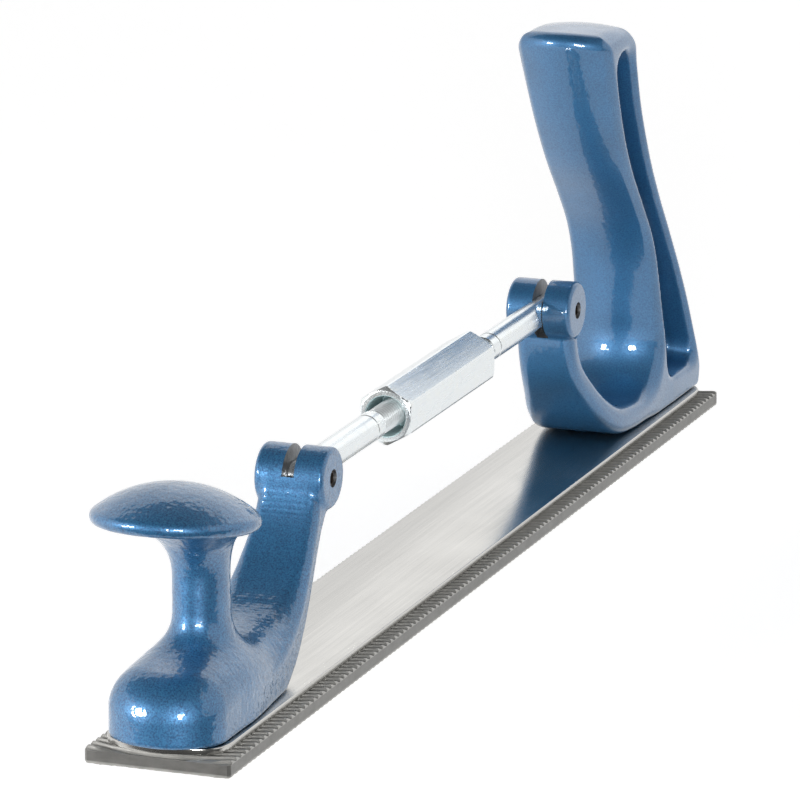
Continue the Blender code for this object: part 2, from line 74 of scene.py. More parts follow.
FRONT_PIN_Y = 86.8
REAR_PIN_Y = 261.5
PIN_Z = 46.0
BASE_Z = 6.2
BLADE_FRONT = -1.0
BLADE_REAR = 352.0
BLADE_HALF_WIDTH = 17.5
BLADE_THICKNESS = 4.2
STRIP_Z = 5.25
THREAD_ROOT = 2.6
THREAD_HEIGHT = 0.75
PIN_HOLE = 2.15
SCREW_STATIONS = (("front", 14.0), ("rear", 337.0))


def at(x, y, z):
    """A point of the tool, from millimetres on the datum to the frame's metres."""
    return Vector((x * MM, y * MM + DATUM, z * MM))


def length(metres):
    """A length property in millimetres."""
    return metres / MM


# Settings that a user would change

A_LENGTH = {"precision": 5, "subtype": 'DISTANCE', "unit": 'LENGTH'}
A_COLOUR = {"min": 0, "max": 1, "size": 3, "subtype": 'COLOR'}


class BodyFileSizes(bpy.types.PropertyGroup):
    """Sizes of the dressed pieces."""

    casting_step: FloatProperty(
        name="Casting Step", description="Cell size of the castings' skin",
        default=0.0006, min=0.0004, max=0.002, **A_LENGTH,
    )
    slot_width: FloatProperty(
        name="Lug Slot", description="Width of the slot that takes a rod's eye",
        default=0.003, min=0.002, max=0.006, **A_LENGTH,
    )
    tooth_pitch: FloatProperty(
        name="Tooth Pitch", description="Distance from one tooth to the next",
        default=0.0028, min=0.002, max=0.004, **A_LENGTH,
    )
    tooth_depth: FloatProperty(
        name="Tooth Depth", description="Depth of the gullets between the teeth",
        default=0.0009, min=0.0003, max=0.0015, **A_LENGTH,
    )
    tooth_sweep: FloatProperty(
        name="Tooth Sweep", description="How far a tooth falls back at the blade's edges",
        default=0.0036, min=0.0, max=0.008, **A_LENGTH,
    )
    thread_pitch: FloatProperty(
        name="Thread Pitch", description="Pitch of the rods' threads",
        default=0.00127, min=0.0008, max=0.002, **A_LENGTH,
    )
    nut_flats: FloatProperty(
        name="Nut Flats", description="Width of the turnbuckle nut across its flats",
        default=0.013, min=0.011, max=0.015, **A_LENGTH,
    )


class BodyFileFinishes(bpy.types.PropertyGroup):
    """Colours of the paint and the metals."""

    paint: FloatVectorProperty(
        name="Paint", description="Main colour of the hammered enamel",
        default=(0.022, 0.155, 0.350), **A_COLOUR,
    )
    paint_dark: FloatVectorProperty(
        name="Paint Flecks", description="Dark flecks in the hammered enamel",
        default=(0.009, 0.078, 0.195), **A_COLOUR,
    )
    paint_light: FloatVectorProperty(
        name="Paint Cells", description="Light cells in the hammered enamel",
        default=(0.042, 0.220, 0.435), **A_COLOUR,
    )
    strip: FloatVectorProperty(
        name="Spring Strip", description="Colour of the brushed strip",
        default=(0.58, 0.570, 0.545), **A_COLOUR,
    )
    blade: FloatVectorProperty(
        name="File Steel", description="Colour of the blade's steel",
        default=(0.450, 0.443, 0.420), **A_COLOUR,
    )
    zinc: FloatVectorProperty(
        name="Zinc Plate", description="Colour of the plated rods and nut",
        default=(0.83, 0.87, 0.885), **A_COLOUR,
    )
    bare: FloatVectorProperty(
        name="Milled Slot", description="Bare metal where the slot was milled through the paint",
        default=(0.28, 0.285, 0.295), **A_COLOUR,
    )
    pin: FloatVectorProperty(
        name="Spring Pin", description="Dark oiled steel of the pivot pins",
        default=(0.045, 0.037, 0.032), **A_COLOUR,
    )


class BodyFileStage(bpy.types.PropertyGroup):
    """Camera and light of the studio."""

    azimuth: FloatProperty(
        name="Azimuth", description="Camera direction round the tool, from the knob's end",
        default=math.radians(20.3286), subtype='ANGLE', unit='ROTATION',
    )
    elevation: FloatProperty(
        name="Elevation", description="Camera height above the horizon",
        default=math.radians(14.4588), subtype='ANGLE', unit='ROTATION',
    )
    lens: FloatProperty(
        name="Lens", description="Focal length in millimetres on a 36 mm frame",
        default=306.34, min=50, max=500,
    )
    world_fill: FloatProperty(
        name="World Fill", description="Strength of the even light from all round",
        default=0.5, min=0, max=2,
    )
    lamp_power: FloatProperty(
        name="Lamp Power", description="Power of each softbox in watts",
        default=8.5, min=0, max=200,
    )


# Signed distances, in millimetres


def smooth_min(a, b, width):
    """Join two distances with a fillet of about that width."""
    share = np.clip(0.5 + 0.5 * (b - a) / width, 0, 1)
    return b + (a - b) * share - width * share * (1 - share)


def smooth_max(a, b, width):
    """Keep what two distances share, with a rounded edge of about that width."""
    return -smooth_min(-a, -b, width)


def rounded_box(u, v, half_u, half_v, radius):
    """Distance to a rectangle with rounded corners."""
    over_u = np.abs(u) - half_u + radius
    over_v = np.abs(v) - half_v + radius
    outside = np.hypot(np.maximum(over_u, 0), np.maximum(over_v, 0))
    return np.minimum(np.maximum(over_u, over_v), 0) + outside - radius


def ellipse(u, v, half_u, half_v):
    """Distance to an ellipse, close enough near its edge."""
    k1 = np.sqrt((u / half_u) ** 2 + (v / half_v) ** 2) + 1e-6
    k2 = np.sqrt((u / half_u ** 2) ** 2 + (v / half_v ** 2) ** 2) + 1e-6
    return k1 * (k1 - 1) / k2


def dense(rows, steps=8):
    """Run a smooth curve through rows of numbers, as one array with more rows."""
    rows = np.array(rows, float)
    last = len(rows) - 1
    out = []
    for i in range(last):
        p = rows[max(i - 1, 0)]
        q = rows[i]
        r = rows[i + 1]
        s = rows[min(i + 2, last)]
        for k in range(steps):
            t = k / steps
            out.append(
                0.5 * (2 * q + (r - p) * t + (2 * p - 5 * q + 4 * r - s) * t ** 2
                       + (3 * q - p - 3 * r + s) * t ** 3)
            )
    out.append(rows[last])
    return np.array(out)


def read(rows, where, column=1):
    """Read a column of a table at some places along its first one."""
    return np.interp(where, rows[:, 0], rows[:, column])


def round_meet(a, b, radius):
    """Keep what two distances share, with an edge rounded to a true radius."""
    u = a + radius
    v = b + radius
    return np.hypot(np.maximum(u, 0), np.maximum(v, 0)) - radius + np.minimum(np.maximum(u, v), 0)


def strap(y, z, rows):
    """Distance to a bent bar's side view, and its half width at the nearest point.

    Each row is station, height, half width and half thickness.
    """
    shape = np.broadcast(y, z).shape
    best = np.full(shape, 1e9)
    half = np.zeros(shape)
    for a, b in zip(rows, rows[1:]):
        run_y = b[0] - a[0]
        run_z = b[1] - a[1]
        t = np.clip(((y - a[0]) * run_y + (z - a[1]) * run_z) / (run_y ** 2 + run_z ** 2), 0, 1)
        gap = np.hypot(y - a[0] - t * run_y, z - a[1] - t * run_z) - a[3] - t * (b[3] - a[3])
        near = gap < best
        best = np.where(near, gap, best)
        half = np.where(near, a[2] + t * (b[2] - a[2]), half)
    return best, half


LUG_HALF_WIDTH = 8.6
LUG_RADIUS = 7.3
LUG_ROUND = 1.2
LUG_FILLET = 1.0
BASE_EDGE = 1.0


def lug(x, y, z, pin_y):
    """Distance to the round lug on a pivot pin."""
    around = np.hypot(y - pin_y, z - PIN_Z)
    return rounded_box(x, around, LUG_HALF_WIDTH, LUG_RADIUS, LUG_ROUND)


# Front casting

# Height, half width, front and rear of the knob's stem
STEM = dense([
    (16.0, 8.6, 13.0, 38.5), (22.5, 7.0, 16.9, 35.8), (27.0, 6.6, 18.4, 34.6),
    (34.0, 6.5, 18.8, 33.7), (41.0, 6.6, 18.6, 33.4), (46.0, 8.0, 16.0, 33.2),
    (49.5, 10.4, 12.0, 32.4), (52.5, 12.6, 8.0, 30.4),
])
# Foot and arm, in strap()'s rows
FRONT_ARM = dense([
    (-14.0, 9.2, 12.4, 10.5), (4.0, 11.0, 12.4, 10.5), (16.0, 12.2, 12.4, 10.5),
    (30.0, 11.0, 12.4, 10.0), (40.0, 10.8, 12.4, 9.2), (48.0, 12.8, 12.2, 7.8),
    (57.0, 15.8, 11.3, 6.2), (65.0, 20.5, 10.1, 5.0), (71.3, 25.9, 9.0, 4.3),
    (76.5, 31.6, 8.3, 4.0), (80.6, 37.0, 7.9, 4.2), (84.0, 42.0, 7.7, 5.2),
    (86.4, 45.5, 7.6, 6.7),
])
# Station and half width of foot and arm
FRONT_PLAN = np.array([
    (0.0, 14.0), (22.0, 13.9), (34.0, 13.2), (46.0, 12.3), (56.0, 11.3), (64.6, 10.1), (71.0, 9.1),
    (76.5, 8.3), (81.0, 7.8), (92.0, 7.5),
])
NOSE_Y = 7.0
NOSE_HALF_WIDTH = 14.0
NOSE_REACH = 11.4
STEM_TOP = 53.0
STEM_FILLET = 8.0
KNOB_FILLET = 4.0
# Edge radius low on the foot and arm, and by station along the upper side
LOWER_ROUND = 3.0
UPPER_ROUND = np.array([(20.0, 9.0), (46.0, 8.5), (58.0, 6.2), (72.0, 3.2)])
# Height by station where the lower edge radius turns into the upper one, and over what height
ROUND_MIDDLE = np.array([(30.0, 8.0), (46.0, 12.0), (57.0, 17.0), (65.0, 22.0), (90.0, 45.0)])
ROUND_CHANGE = 8.0

# Rear casting

# Height, half width, front and rear of the handle
HANDLE = dense([
    (0.0, 13.2, 319.2, 344.5), (5.5, 13.2, 319.4, 349.2), (9.5, 13.2, 319.5, 351.2),
    (13.5, 13.1, 319.5, 351.0), (24.0, 12.6, 319.0, 346.8),
    (32.0, 12.2, 317.4, 343.1), (41.0, 11.9, 315.4, 337.7), (49.0, 11.75, 313.0, 332.2),
    (57.0, 11.65, 308.7, 326.6), (66.0, 11.6, 301.4, 320.1), (77.5, 11.7, 291.6, 312.2),
    (90.5, 12.1, 283.0, 304.3), (102.0, 12.5, 276.9, 299.2), (110.5, 12.8, 273.0, 296.4),
    (118.0, 12.9, 270.0, 294.7),
])
# Upturned arm, in strap()'s rows
REAR_ARM = dense([
    (262.6, 43.0, 7.6, 3.6), (263.0, 36.0, 7.7, 3.5), (265.8, 29.0, 8.1, 3.4),
    (271.8, 22.2, 9.3, 3.4), (279.2, 15.6, 11.0, 3.5), (288.0, 10.9, 12.3, 3.7),
    (299.0, 9.3, 12.9, 3.6), (314.0, 9.3, 13.0, 3.6), (334.0, 9.3, 12.9, 3.6),
])
# Height, and how far the middle of the grip stands out
CROWN = dense([
    (8, 1.0), (14, 3.6), (22, 4.4), (30, 4.2), (40, 3.2), (50, 2.2), (57, 1.9), (66, 2.4),
    (82, 3.6), (116, 3.9),
])
GRIP_HALF_WIDTH = 12.0
CROWN_BACK = 0.7
VALLEY_FILLET = 18.0
ARM_CHANGE = 12.0
ARM_ROUND = 3.0
GRIP_ROUND = 2.2
# The rear edges of the grip are rounder by this, and the change takes that depth
REAR_ROUNDER = 0.8
REAR_CHANGE = 6.0
TOP_Z = 115.5
TOP_CROWN = 1.3
TOP_FALL = 0.006
TOP_FALL_Y = 279.0
TOP_ROUND = 4.4
# Flange width by height in front of the pocket, and behind it
FLANGE = np.array([(20.0, 3.0), (60.0, 2.5), (85.0, 2.7), (100.0, 3.5), (112.0, 4.8)])
REAR_FLANGE = 3.6
POCKET_LOW = 13.2
POCKET_HIGH = 108.5
POCKET_DRAFT = 0.10
POCKET_CORNER = 7.0
POCKET_FILLET = 3.0
POCKET_EDGE = 1.4
WEB_HALF_WIDTH = 3.3

# Knob

KNOB_Y = 11.4
KNOB_Z = 54.9
KNOB_SPHERE = 29.13
KNOB_DOME = 8.5
KNOB_RIM = 17.2
KNOB_RIM_Z = 0.35
KNOB_ROUND = 2.0
KNOB_TILT = math.radians(-6.9)


def knob_cap(x, y, z):
    """Distance to the tilted cap of the knob: a low dome with a rounded rim."""
    c = math.cos(KNOB_TILT)
    s = math.sin(KNOB_TILT)
    v = (y - KNOB_Y) * c + (z - KNOB_Z) * s
    w = (z - KNOB_Z) * c - (y - KNOB_Y) * s
    reach = np.hypot(x, v)
    sunk = KNOB_SPHERE - KNOB_DOME
    inner = np.maximum(np.hypot(reach, w + sunk) - KNOB_SPHERE + KNOB_ROUND, KNOB_RIM_Z - w)
    rim = np.hypot(reach - KNOB_RIM, w - KNOB_RIM_Z)
    beyond = (reach > KNOB_RIM) & ((w + sunk) * KNOB_RIM < (KNOB_RIM_Z + sunk) * reach)
    return np.where(beyond, rim, inner) - KNOB_ROUND


def front_casting_field(x, y, z):
    """Distance to the front casting: foot, knob on its stem, and the arm up to the lug."""
    nose = ellipse(x, np.minimum(y - NOSE_Y, 0), NOSE_HALF_WIDTH, NOSE_REACH)
    sides = np.abs(x) - read(FRONT_PLAN, y)
    plan = np.where(y < NOSE_Y, nose, sides)
    side_view = strap(y, z, FRONT_ARM)[0]
    upper = np.clip((z - read(ROUND_MIDDLE, y) + ROUND_CHANGE / 2) / ROUND_CHANGE, 0, 1)
    edge = LOWER_ROUND + (read(UPPER_ROUND, y) - LOWER_ROUND) * upper
    body = round_meet(side_view, plan, edge)
    front = read(STEM, z, 2)
    rear = read(STEM, z, 3)
    stem = ellipse(x, y - (front + rear) / 2, read(STEM, z), (rear - front) / 2)
    stem = smooth_max(stem, z - STEM_TOP, 1.0)
    body = smooth_min(body, stem, STEM_FILLET)
    body = smooth_min(body, knob_cap(x, y, z), KNOB_FILLET)
    body = smooth_min(body, lug(x, y, z, FRONT_PIN_Y), LUG_FILLET)
    return smooth_max(body, BASE_Z - z, BASE_EDGE)


def rear_casting_field(x, y, z):
    """Distance to the rear casting: pocketed handle, foot and upturned arm with its lug."""
    half = read(HANDLE, z)
    edge_front = read(HANDLE, z, 2) + CROWN_BACK
    front = edge_front - read(CROWN, z) * np.maximum(1 - (x / GRIP_HALF_WIDTH) ** 2, 0)
    rear = read(HANDLE, z, 3)
    lean = np.interp(z, HANDLE[:, 0], np.gradient(HANDLE[:, 2], HANDLE[:, 0]))
    plumb = 1 / np.sqrt(1 + lean ** 2)
    side_view = np.maximum(front - y, y - rear) * plumb
    arm, arm_half = strap(y, z, REAR_ARM)
    arm_share = np.clip(0.5 + (side_view - arm) / ARM_CHANGE, 0, 1)
    half = half + (arm_half - half) * arm_share
    behind = np.clip((y - (front + rear) / 2) / REAR_CHANGE + 0.5, 0, 1)
    edge = (GRIP_ROUND + REAR_ROUNDER * behind) * (1 - arm_share) + ARM_ROUND * arm_share
    body = round_meet(smooth_min(side_view, arm, VALLEY_FILLET), np.abs(x) - half, edge)
    fall = TOP_FALL * np.maximum(y - TOP_FALL_Y, 0) ** 2
    body = round_meet(body, z - (TOP_Z - TOP_CROWN * (x / GRIP_HALF_WIDTH) ** 2 - fall), TOP_ROUND)
    pocket_front = (edge_front + read(FLANGE, z) - y) * plumb
    outline = smooth_max(pocket_front, (y - rear + REAR_FLANGE) * plumb, POCKET_FILLET)
    ends = smooth_max(POCKET_LOW - z, z - POCKET_HIGH, POCKET_FILLET)
    outline = smooth_max(outline, ends, POCKET_CORNER)
    draft = POCKET_DRAFT * (GRIP_HALF_WIDTH - np.abs(x))
    pocket = smooth_max(outline + draft, WEB_HALF_WIDTH - np.abs(x), POCKET_FILLET)
    body = smooth_max(body, -pocket, POCKET_EDGE + REAR_ROUNDER * behind)
    body = smooth_min(body, lug(x, y, z, REAR_PIN_Y), LUG_FILLET)
    return smooth_max(body, BASE_Z - z, BASE_EDGE)


# Mesh makers

SLOPE_STEP = 0.05
# How far a point of the skin moves toward the middle of its neighbours in one round
RELAX = 0.6


def gradient(field, points):
    """The field's slope at some points."""
    return np.stack([
        (field(*(points + d).T) - field(*(points - d).T)) / (2 * SLOPE_STEP)
        for d in np.eye(3) * SLOPE_STEP
    ], axis=1)


def surface_net(field, low, high, step):
    """Skin the zero surface of a distance field with quads, and settle the skin onto it."""
    axes = [np.arange(a, b + step, step) for a, b in zip(low, high)]
    grid = field(axes[0][:, None, None], axes[1][None, :, None], axes[2][None, None, :])
    inside = grid < 0
    corners = np.array([(i, j, k) for i in (0, 1) for j in (0, 1) for k in (0, 1)])
    nx, ny, nz = np.array(inside.shape) - 1
    count = sum(inside[i:nx + i, j:ny + j, k:nz + k].astype(int) for i, j, k in corners)
    cells = np.argwhere((count > 0) & (count < 8))
    number = np.full(count.shape, -1)
    number[tuple(cells.T)] = np.arange(len(cells))
    values = np.stack([grid[tuple((cells + c).T)] for c in corners], axis=1)
    total = np.zeros((len(cells), 3))
    hits = np.zeros(len(cells))
    for a in range(8):
        for b in range(a + 1, 8):
            if np.abs(corners[a] - corners[b]).sum() != 1:
                continue
            cut = (values[:, a] < 0) != (values[:, b] < 0)
            t = values[cut, a] / (values[cut, a] - values[cut, b])
            total[cut] += corners[a] + t[:, None] * (corners[b] - corners[a])
            hits[cut] += 1
    points = np.array(low) + step * (cells + total / hits[:, None])
    faces = []
    for axis in range(3):
        u = (axis + 1) % 3
        v = (axis + 2) % 3
        first = np.take(inside, range(inside.shape[axis] - 1), axis)
        second = np.take(inside, range(1, inside.shape[axis]), axis)
        for forward in (True, False):
            edges = np.argwhere(first & ~second if forward else ~first & second)
            loop = []
            for du, dv in ((-1, -1), (0, -1), (0, 0), (-1, 0)):
                cell = edges.copy()
                cell[:, u] += du
                cell[:, v] += dv
                loop.append(number[tuple(cell.T)])
            faces.append(np.stack(loop if forward else loop[::-1], axis=1))
    faces = np.concatenate(faces)
    for relax in (True, True, True, False):
        if relax:
            total = np.zeros_like(points)
            hits = np.zeros(len(points))
            for shift in (1, 3):
                np.add.at(total, faces, points[np.roll(faces, shift, axis=1)])
                np.add.at(hits, faces, 1)
            points = (1 - RELAX) * points + RELAX * total / hits[:, None]
        slope = gradient(field, points)
        move = field(*points.T)[:, None] * slope / np.maximum((slope ** 2).sum(1), 0.05)[:, None]
        points -= np.clip(move, -step / 2, step / 2)
    return points, faces


def shade_by_field(obj, field):
    """Shade the painted faces by the field's own slope, and the milled ones flat."""
    mesh = obj.data
    points = np.array([v.co for v in mesh.vertices])
    points[:, 1] -= DATUM
    slope = gradient(field, points / MM)
    slope /= np.maximum(np.linalg.norm(slope, axis=1), 1e-6)[:, None]
    normals = np.zeros((len(mesh.loops), 3))
    for face in mesh.polygons:
        milled = face.material_index > 0
        for loop in face.loop_indices:
            normals[loop] = face.normal if milled else slope[mesh.loops[loop].vertex_index]
    mesh.normals_split_custom_set(normals.tolist())


def link(obj):
    """Put an object into the scene."""
    bpy.context.scene.collection.objects.link(obj)
    return obj


def sharpen(obj, angle):
    """Shade a piece smooth, with hard edges where its faces meet at more than an angle."""
    obj.data.shade_smooth()
    obj.data.set_sharp_from_angle(angle=math.radians(angle))


def mesh_piece(name, points, faces, material, angle=40):
    """An object from millimetre points on the datum, smooth where its faces meet gently."""
    mesh = bpy.data.meshes.new(name)
    points = np.asarray(points, float) * MM + np.array((0, DATUM, 0))
    mesh.from_pydata(points.tolist(), [], [list(f) for f in faces])
    mesh.validate()
    mesh.materials.append(material)
    obj = link(bpy.data.objects.new(name, mesh))
    sharpen(obj, angle)
    return obj


def tube_faces(rings, around, closed_ends=True):
    """Faces of a skin over rings of points that have the same count."""
    faces = []
    for low in range(0, (rings - 1) * around, around):
        high = low + around
        for i in range(around):
            j = (i + 1) % around
            faces.append((low + i, low + j, high + j, high + i))
    if closed_ends:
        faces.append(tuple(range(around))[::-1])
        faces.append(tuple((rings - 1) * around + i for i in range(around)))
    return faces


def outward(obj):
    """Turn a closed piece's faces outward."""
    bm = bmesh.new()
    bm.from_mesh(obj.data)
    bmesh.ops.recalc_face_normals(bm, faces=bm.faces)
    bm.to_mesh(obj.data)
    bm.free()
    return obj


def turned(name, profile, centre, axis, segments, material):
    """A piece turned from a profile of radius and height pairs about Z or X."""
    turns = np.arange(segments) * 2 * math.pi / segments
    points = []
    for radius, height in profile:
        for t in turns:
            u = radius * math.cos(t)
            v = radius * math.sin(t)
            spot = {'Z': (u, v, height), 'X': (height, u, v)}[axis]
            points.append(tuple(a + b for a, b in zip(centre, spot)))
    return outward(mesh_piece(name, points, tube_faces(len(profile), segments), material))


def cut(obj, tool):
    """Take a tool's shape out of a piece for good, and drop the tool."""
    modifier = obj.modifiers.new("Cut", 'BOOLEAN')
    modifier.object = tool
    modifier.operation = 'DIFFERENCE'
    modifier.solver = 'EXACT'
    modifier.material_mode = 'TRANSFER'
    graph = bpy.context.evaluated_depsgraph_get()
    mesh = bpy.data.meshes.new_from_object(obj.evaluated_get(graph))
    obj.modifiers.clear()
    used = (obj.data, tool.data)
    obj.data = mesh
    mesh.name = obj.name
    bpy.data.objects.remove(tool)
    for old in used:
        bpy.data.meshes.remove(old)


def block(name, low, high, material):
    """A box between two millimetre corners."""
    xs, ys, zs = zip(low, high)
    points = [(x, y, z) for x in xs for y in ys for z in zs]
    faces = [(0, 1, 3, 2), (4, 6, 7, 5), (0, 4, 5, 1), (2, 3, 7, 6), (0, 2, 6, 4), (1, 5, 7, 3)]
    return mesh_piece(name, points, faces, material)


# Finishes

# A noise keeps mostly between these values
NOISE_SPAN = (0.3, 0.7)


def feed(tree, node, inputs):
    """Set a node's inputs by name: a socket is linked, anything else is its value."""
    for name, value in inputs.items():
        if isinstance(value, bpy.types.NodeSocket):
            tree.links.new(value, node.inputs[name])
        else:
            node.inputs[name].default_value = value


def new_node(tree, kind, inputs):
    """A node of some kind with its inputs set."""
    node = tree.nodes.new(kind)
    feed(tree, node, inputs)
    return node


def stretched(tree, vector, scale, shift=(0, 0, 0)):
    """The same coordinates, drawn out along some axes."""
    node = new_node(tree, "ShaderNodeMapping", {
        "Vector": vector, "Scale": scale, "Location": shift,
    })
    return node.outputs["Vector"]


def new_finish(name):
    """A material with its shader, and its coordinates in millimetres."""
    material = bpy.data.materials.new(name)
    material.use_nodes = True
    tree = material.node_tree
    place = tree.nodes.new("ShaderNodeTexCoord").outputs["Object"]
    return material, tree, tree.nodes["Principled BSDF"], stretched(tree, place, (1 / MM,) * 3)


def noise(tree, vector, scale, detail=3.0, roughness=0.5, distortion=0.0):
    """Soft grey clouds; the scale is their number in a millimetre."""
    node = new_node(tree, "ShaderNodeTexNoise", {
        "Vector": vector, "Scale": scale, "Detail": detail, "Roughness": roughness,
        "Distortion": distortion,
    })
    return node.outputs["Fac"]


def cells(tree, vector, scale):
    """Soft round cells; the scale is their number in a millimetre."""
    node = tree.nodes.new("ShaderNodeTexVoronoi")
    node.feature = 'SMOOTH_F1'
    feed(tree, node, {"Vector": vector, "Scale": scale, "Smoothness": 0.6})
    return node.outputs["Distance"]


def ramp(tree, value, stops):
    """A colour by a value, from stops of position and colour."""
    node = new_node(tree, "ShaderNodeValToRGB", {"Fac": value})
    elements = node.color_ramp.elements
    elements[0].position = stops[0][0]
    elements[1].position = stops[-1][0]
    for position, _ in stops[1:-1]:
        elements.new(position)
    for element, (_, colour) in zip(elements, stops):
        element.color = (*colour, 1)
    return node.outputs["Color"]


def remap(tree, value, low, high, start=0.0, end=1.0):
    """Carry a value from one range into another."""
    node = new_node(tree, "ShaderNodeMapRange", {
        "Value": value, "From Min": start, "From Max": end, "To Min": low, "To Max": high,
    })
    return node.outputs["Result"]


def arithmetic(tree, operation, *values, clamp=False):
    """The result of one operation on sockets and numbers."""
    node = tree.nodes.new("ShaderNodeMath")
    node.operation = operation
    node.use_clamp = clamp
    feed(tree, node, dict(enumerate(values)))
    return node.outputs[0]


def multiplied(tree, a, b):
    """The product of two colours."""
    node = tree.nodes.new("ShaderNodeMix")
    node.data_type = 'RGBA'
    node.blend_type = 'MULTIPLY'
    feed(tree, node, {0: 1.0, 6: a, 7: b})
    return node.outputs[2]


def bump(tree, height, strength, distance, normal=None):
    """A normal that follows a height, over another normal if one is given."""
    node = new_node(tree, "ShaderNodeBump", {
        "Height": height, "Strength": strength, "Distance": distance,
    })
    if normal:
        feed(tree, node, {"Normal": normal})
    return node.outputs["Normal"]


def shaded(colour, *factors):
    """A colour made darker or lighter, by one factor or by one for each channel."""
    if len(factors) == 1:
        factors *= 3
    return tuple(min(1.0, f * c) for f, c in zip(factors, colour))


def grey(value):
    return (value,) * 3


def enamel(name, finishes, lumpy, dimpled, flecked):
    """Blue hammered enamel: dark flecks between light cells, over a slightly lumpy casting."""
    _, tree, shader, place = new_finish(name)
    lump_height = 0.0006
    dimple_height = 0.0004
    flecks = noise(tree, place, 2.5, 3.0, 0.6, 0.3)
    plain = tuple(finishes.paint)
    dark = tuple(a + (b - a) * flecked for a, b in zip(plain, finishes.paint_dark))
    light = tuple(a + (b - a) * flecked for a, b in zip(plain, finishes.paint_light))
    colour = ramp(tree, flecks, [(0.36, dark), (0.50, plain), (0.66, light)])
    cloud = ramp(tree, noise(tree, place, 0.09, 2.0), [(0.3, grey(0.86)), (0.7, grey(1.0))])
    lump = noise(tree, place, 0.36, 2.0, 0.5)
    lumps = bump(tree, lump, lumpy, lump_height)
    feed(tree, shader, {
        "Base Color": multiplied(tree, colour, cloud),
        "Roughness": remap(tree, flecks, 0.52, 0.42, 0.35, 0.65),
        "Metallic": 0.55,
        "IOR": 1.9,
        "Normal": bump(tree, lump, lumpy / 2, lump_height),
        "Coat Weight": 1.0,
        "Coat Roughness": 0.05,
        "Coat IOR": 1.55,
        "Coat Normal": bump(tree, cells(tree, place, 0.75), dimpled, dimple_height, lumps),
    })


def hammered_paint(finishes):
    """The front casting's enamel, with a strong hammered pattern."""
    enamel("hammered_paint", finishes, 0.30, 0.26, 1.0)


def smooth_paint(finishes):
    """The rear casting's enamel, which has flowed out smoother."""
    enamel("smooth_paint", finishes, 0.09, 0.09, 0.5)


def brushed_strip(finishes):
    """Bright spring steel, brushed lengthwise, with faint smears."""
    _, tree, shader, place = new_finish("brushed_strip")
    lines = noise(tree, stretched(tree, place, (5.0, 0.03, 5.0)), 1.0, 4.0, 0.6)
    broad = noise(tree, stretched(tree, place, (0.8, 0.012, 0.8)), 1.0, 2.0)
    smear = noise(tree, place, 0.035, 3.0)
    colour = ramp(tree, lines, [(0.3, shaded(finishes.strip, 0.86)), (0.62, tuple(finishes.strip))])
    shade = ramp(tree, broad, [(0.3, grey(0.92)), (0.7, grey(1.0))])
    feed(tree, shader, {
        "Base Color": multiplied(tree, colour, shade),
        "Roughness": remap(tree, smear, 0.16, 0.26, *NOISE_SPAN),
        "Metallic": 1.0,
        "Anisotropic": 0.4,
        "Normal": bump(tree, lines, 0.08, 0.00008),
    })


def milled_steel(finishes):
    """Hardened steel with fine cutter marks; painted shade darkens the sides, ends and gullets."""
    _, tree, shader, place = new_finish("milled_steel")
    split = new_node(tree, "ShaderNodeSeparateXYZ", {"Vector": place})
    # Painted shade, set by height from mid-thickness: darkest on sides and ends, less in gullets,
    # none on tooth tips.
    above = arithmetic(tree, 'SUBTRACT', split.outputs["Z"], BLADE_THICKNESS / 2)
    painted_shade_depth = remap(tree, arithmetic(tree, 'ABSOLUTE', above), 0.0, 1.0, 1.0, 2.0)
    grain = noise(tree, stretched(tree, place, (0.5, 3.0, 3.0)), 1.0, 4.0, 0.6)
    mottle = noise(tree, place, 0.25, 4.0, 0.6)
    dark = shaded(finishes.blade, 0.86)
    light = shaded(finishes.blade, 1.12)
    colour = ramp(tree, mottle, [(0.3, dark), (0.5, tuple(finishes.blade)), (0.72, light)])
    shade = ramp(tree, painted_shade_depth, [(0.1, grey(0.44)), (0.28, grey(0.88)), (1.0, grey(1.0))])
    feed(tree, shader, {
        "Base Color": multiplied(tree, colour, shade),
        "Roughness": remap(tree, grain, 0.32, 0.45, *NOISE_SPAN),
        "Metallic": 0.7,
        "Normal": bump(tree, grain, 0.15, 0.00008),
    })


def bright_zinc(finishes):
    """Pale zinc plate with soft stains and the drawing lines of bar stock."""
    _, tree, shader, place = new_finish("bright_zinc")
    lines = noise(tree, stretched(tree, place, (2.2, 0.08, 2.2)), 1.0, 3.0, 0.6)
    stain = noise(tree, place, 0.3, 4.0, 0.6)
    dark = shaded(finishes.zinc, 0.93)
    warm = shaded(finishes.zinc, 1.0, 0.975, 0.92)
    feed(tree, shader, {
        "Base Color": ramp(tree, stain, [(0.25, dark), (0.5, tuple(finishes.zinc)), (0.8, warm)]),
        "Roughness": remap(tree, lines, 0.20, 0.30, *NOISE_SPAN),
        "Metallic": 0.9,
        "Normal": bump(tree, lines, 0.06, 0.0001),
    })


def rolled_thread(finishes):
    """Plated thread with painted shade: darker in the roots, full colour along the crests."""
    _, tree, shader, place = new_finish("rolled_thread")
    across = stretched(tree, place, (1.0, 0.0, 1.0), (0, 0, -PIN_Z))
    radius = tree.nodes.new("ShaderNodeVectorMath")
    radius.operation = 'LENGTH'
    feed(tree, radius, {0: across})
    crest = THREAD_ROOT + THREAD_HEIGHT
    depth = remap(tree, radius.outputs["Value"], 0.0, 1.0, THREAD_ROOT, crest)
    # Painted shade: the thread's roots are darkened to half the plate's colour; the crests keep it.
    dark = shaded(finishes.zinc, 0.5)
    feed(tree, shader, {
        "Base Color": ramp(tree, depth, [(0.25, dark), (0.8, tuple(finishes.zinc))]),
        "Roughness": remap(tree, depth, 0.45, 0.32),
        "Metallic": 0.4,
        "Normal": bump(tree, noise(tree, place, 1.2, 3.0), 0.05, 0.0001),
    })


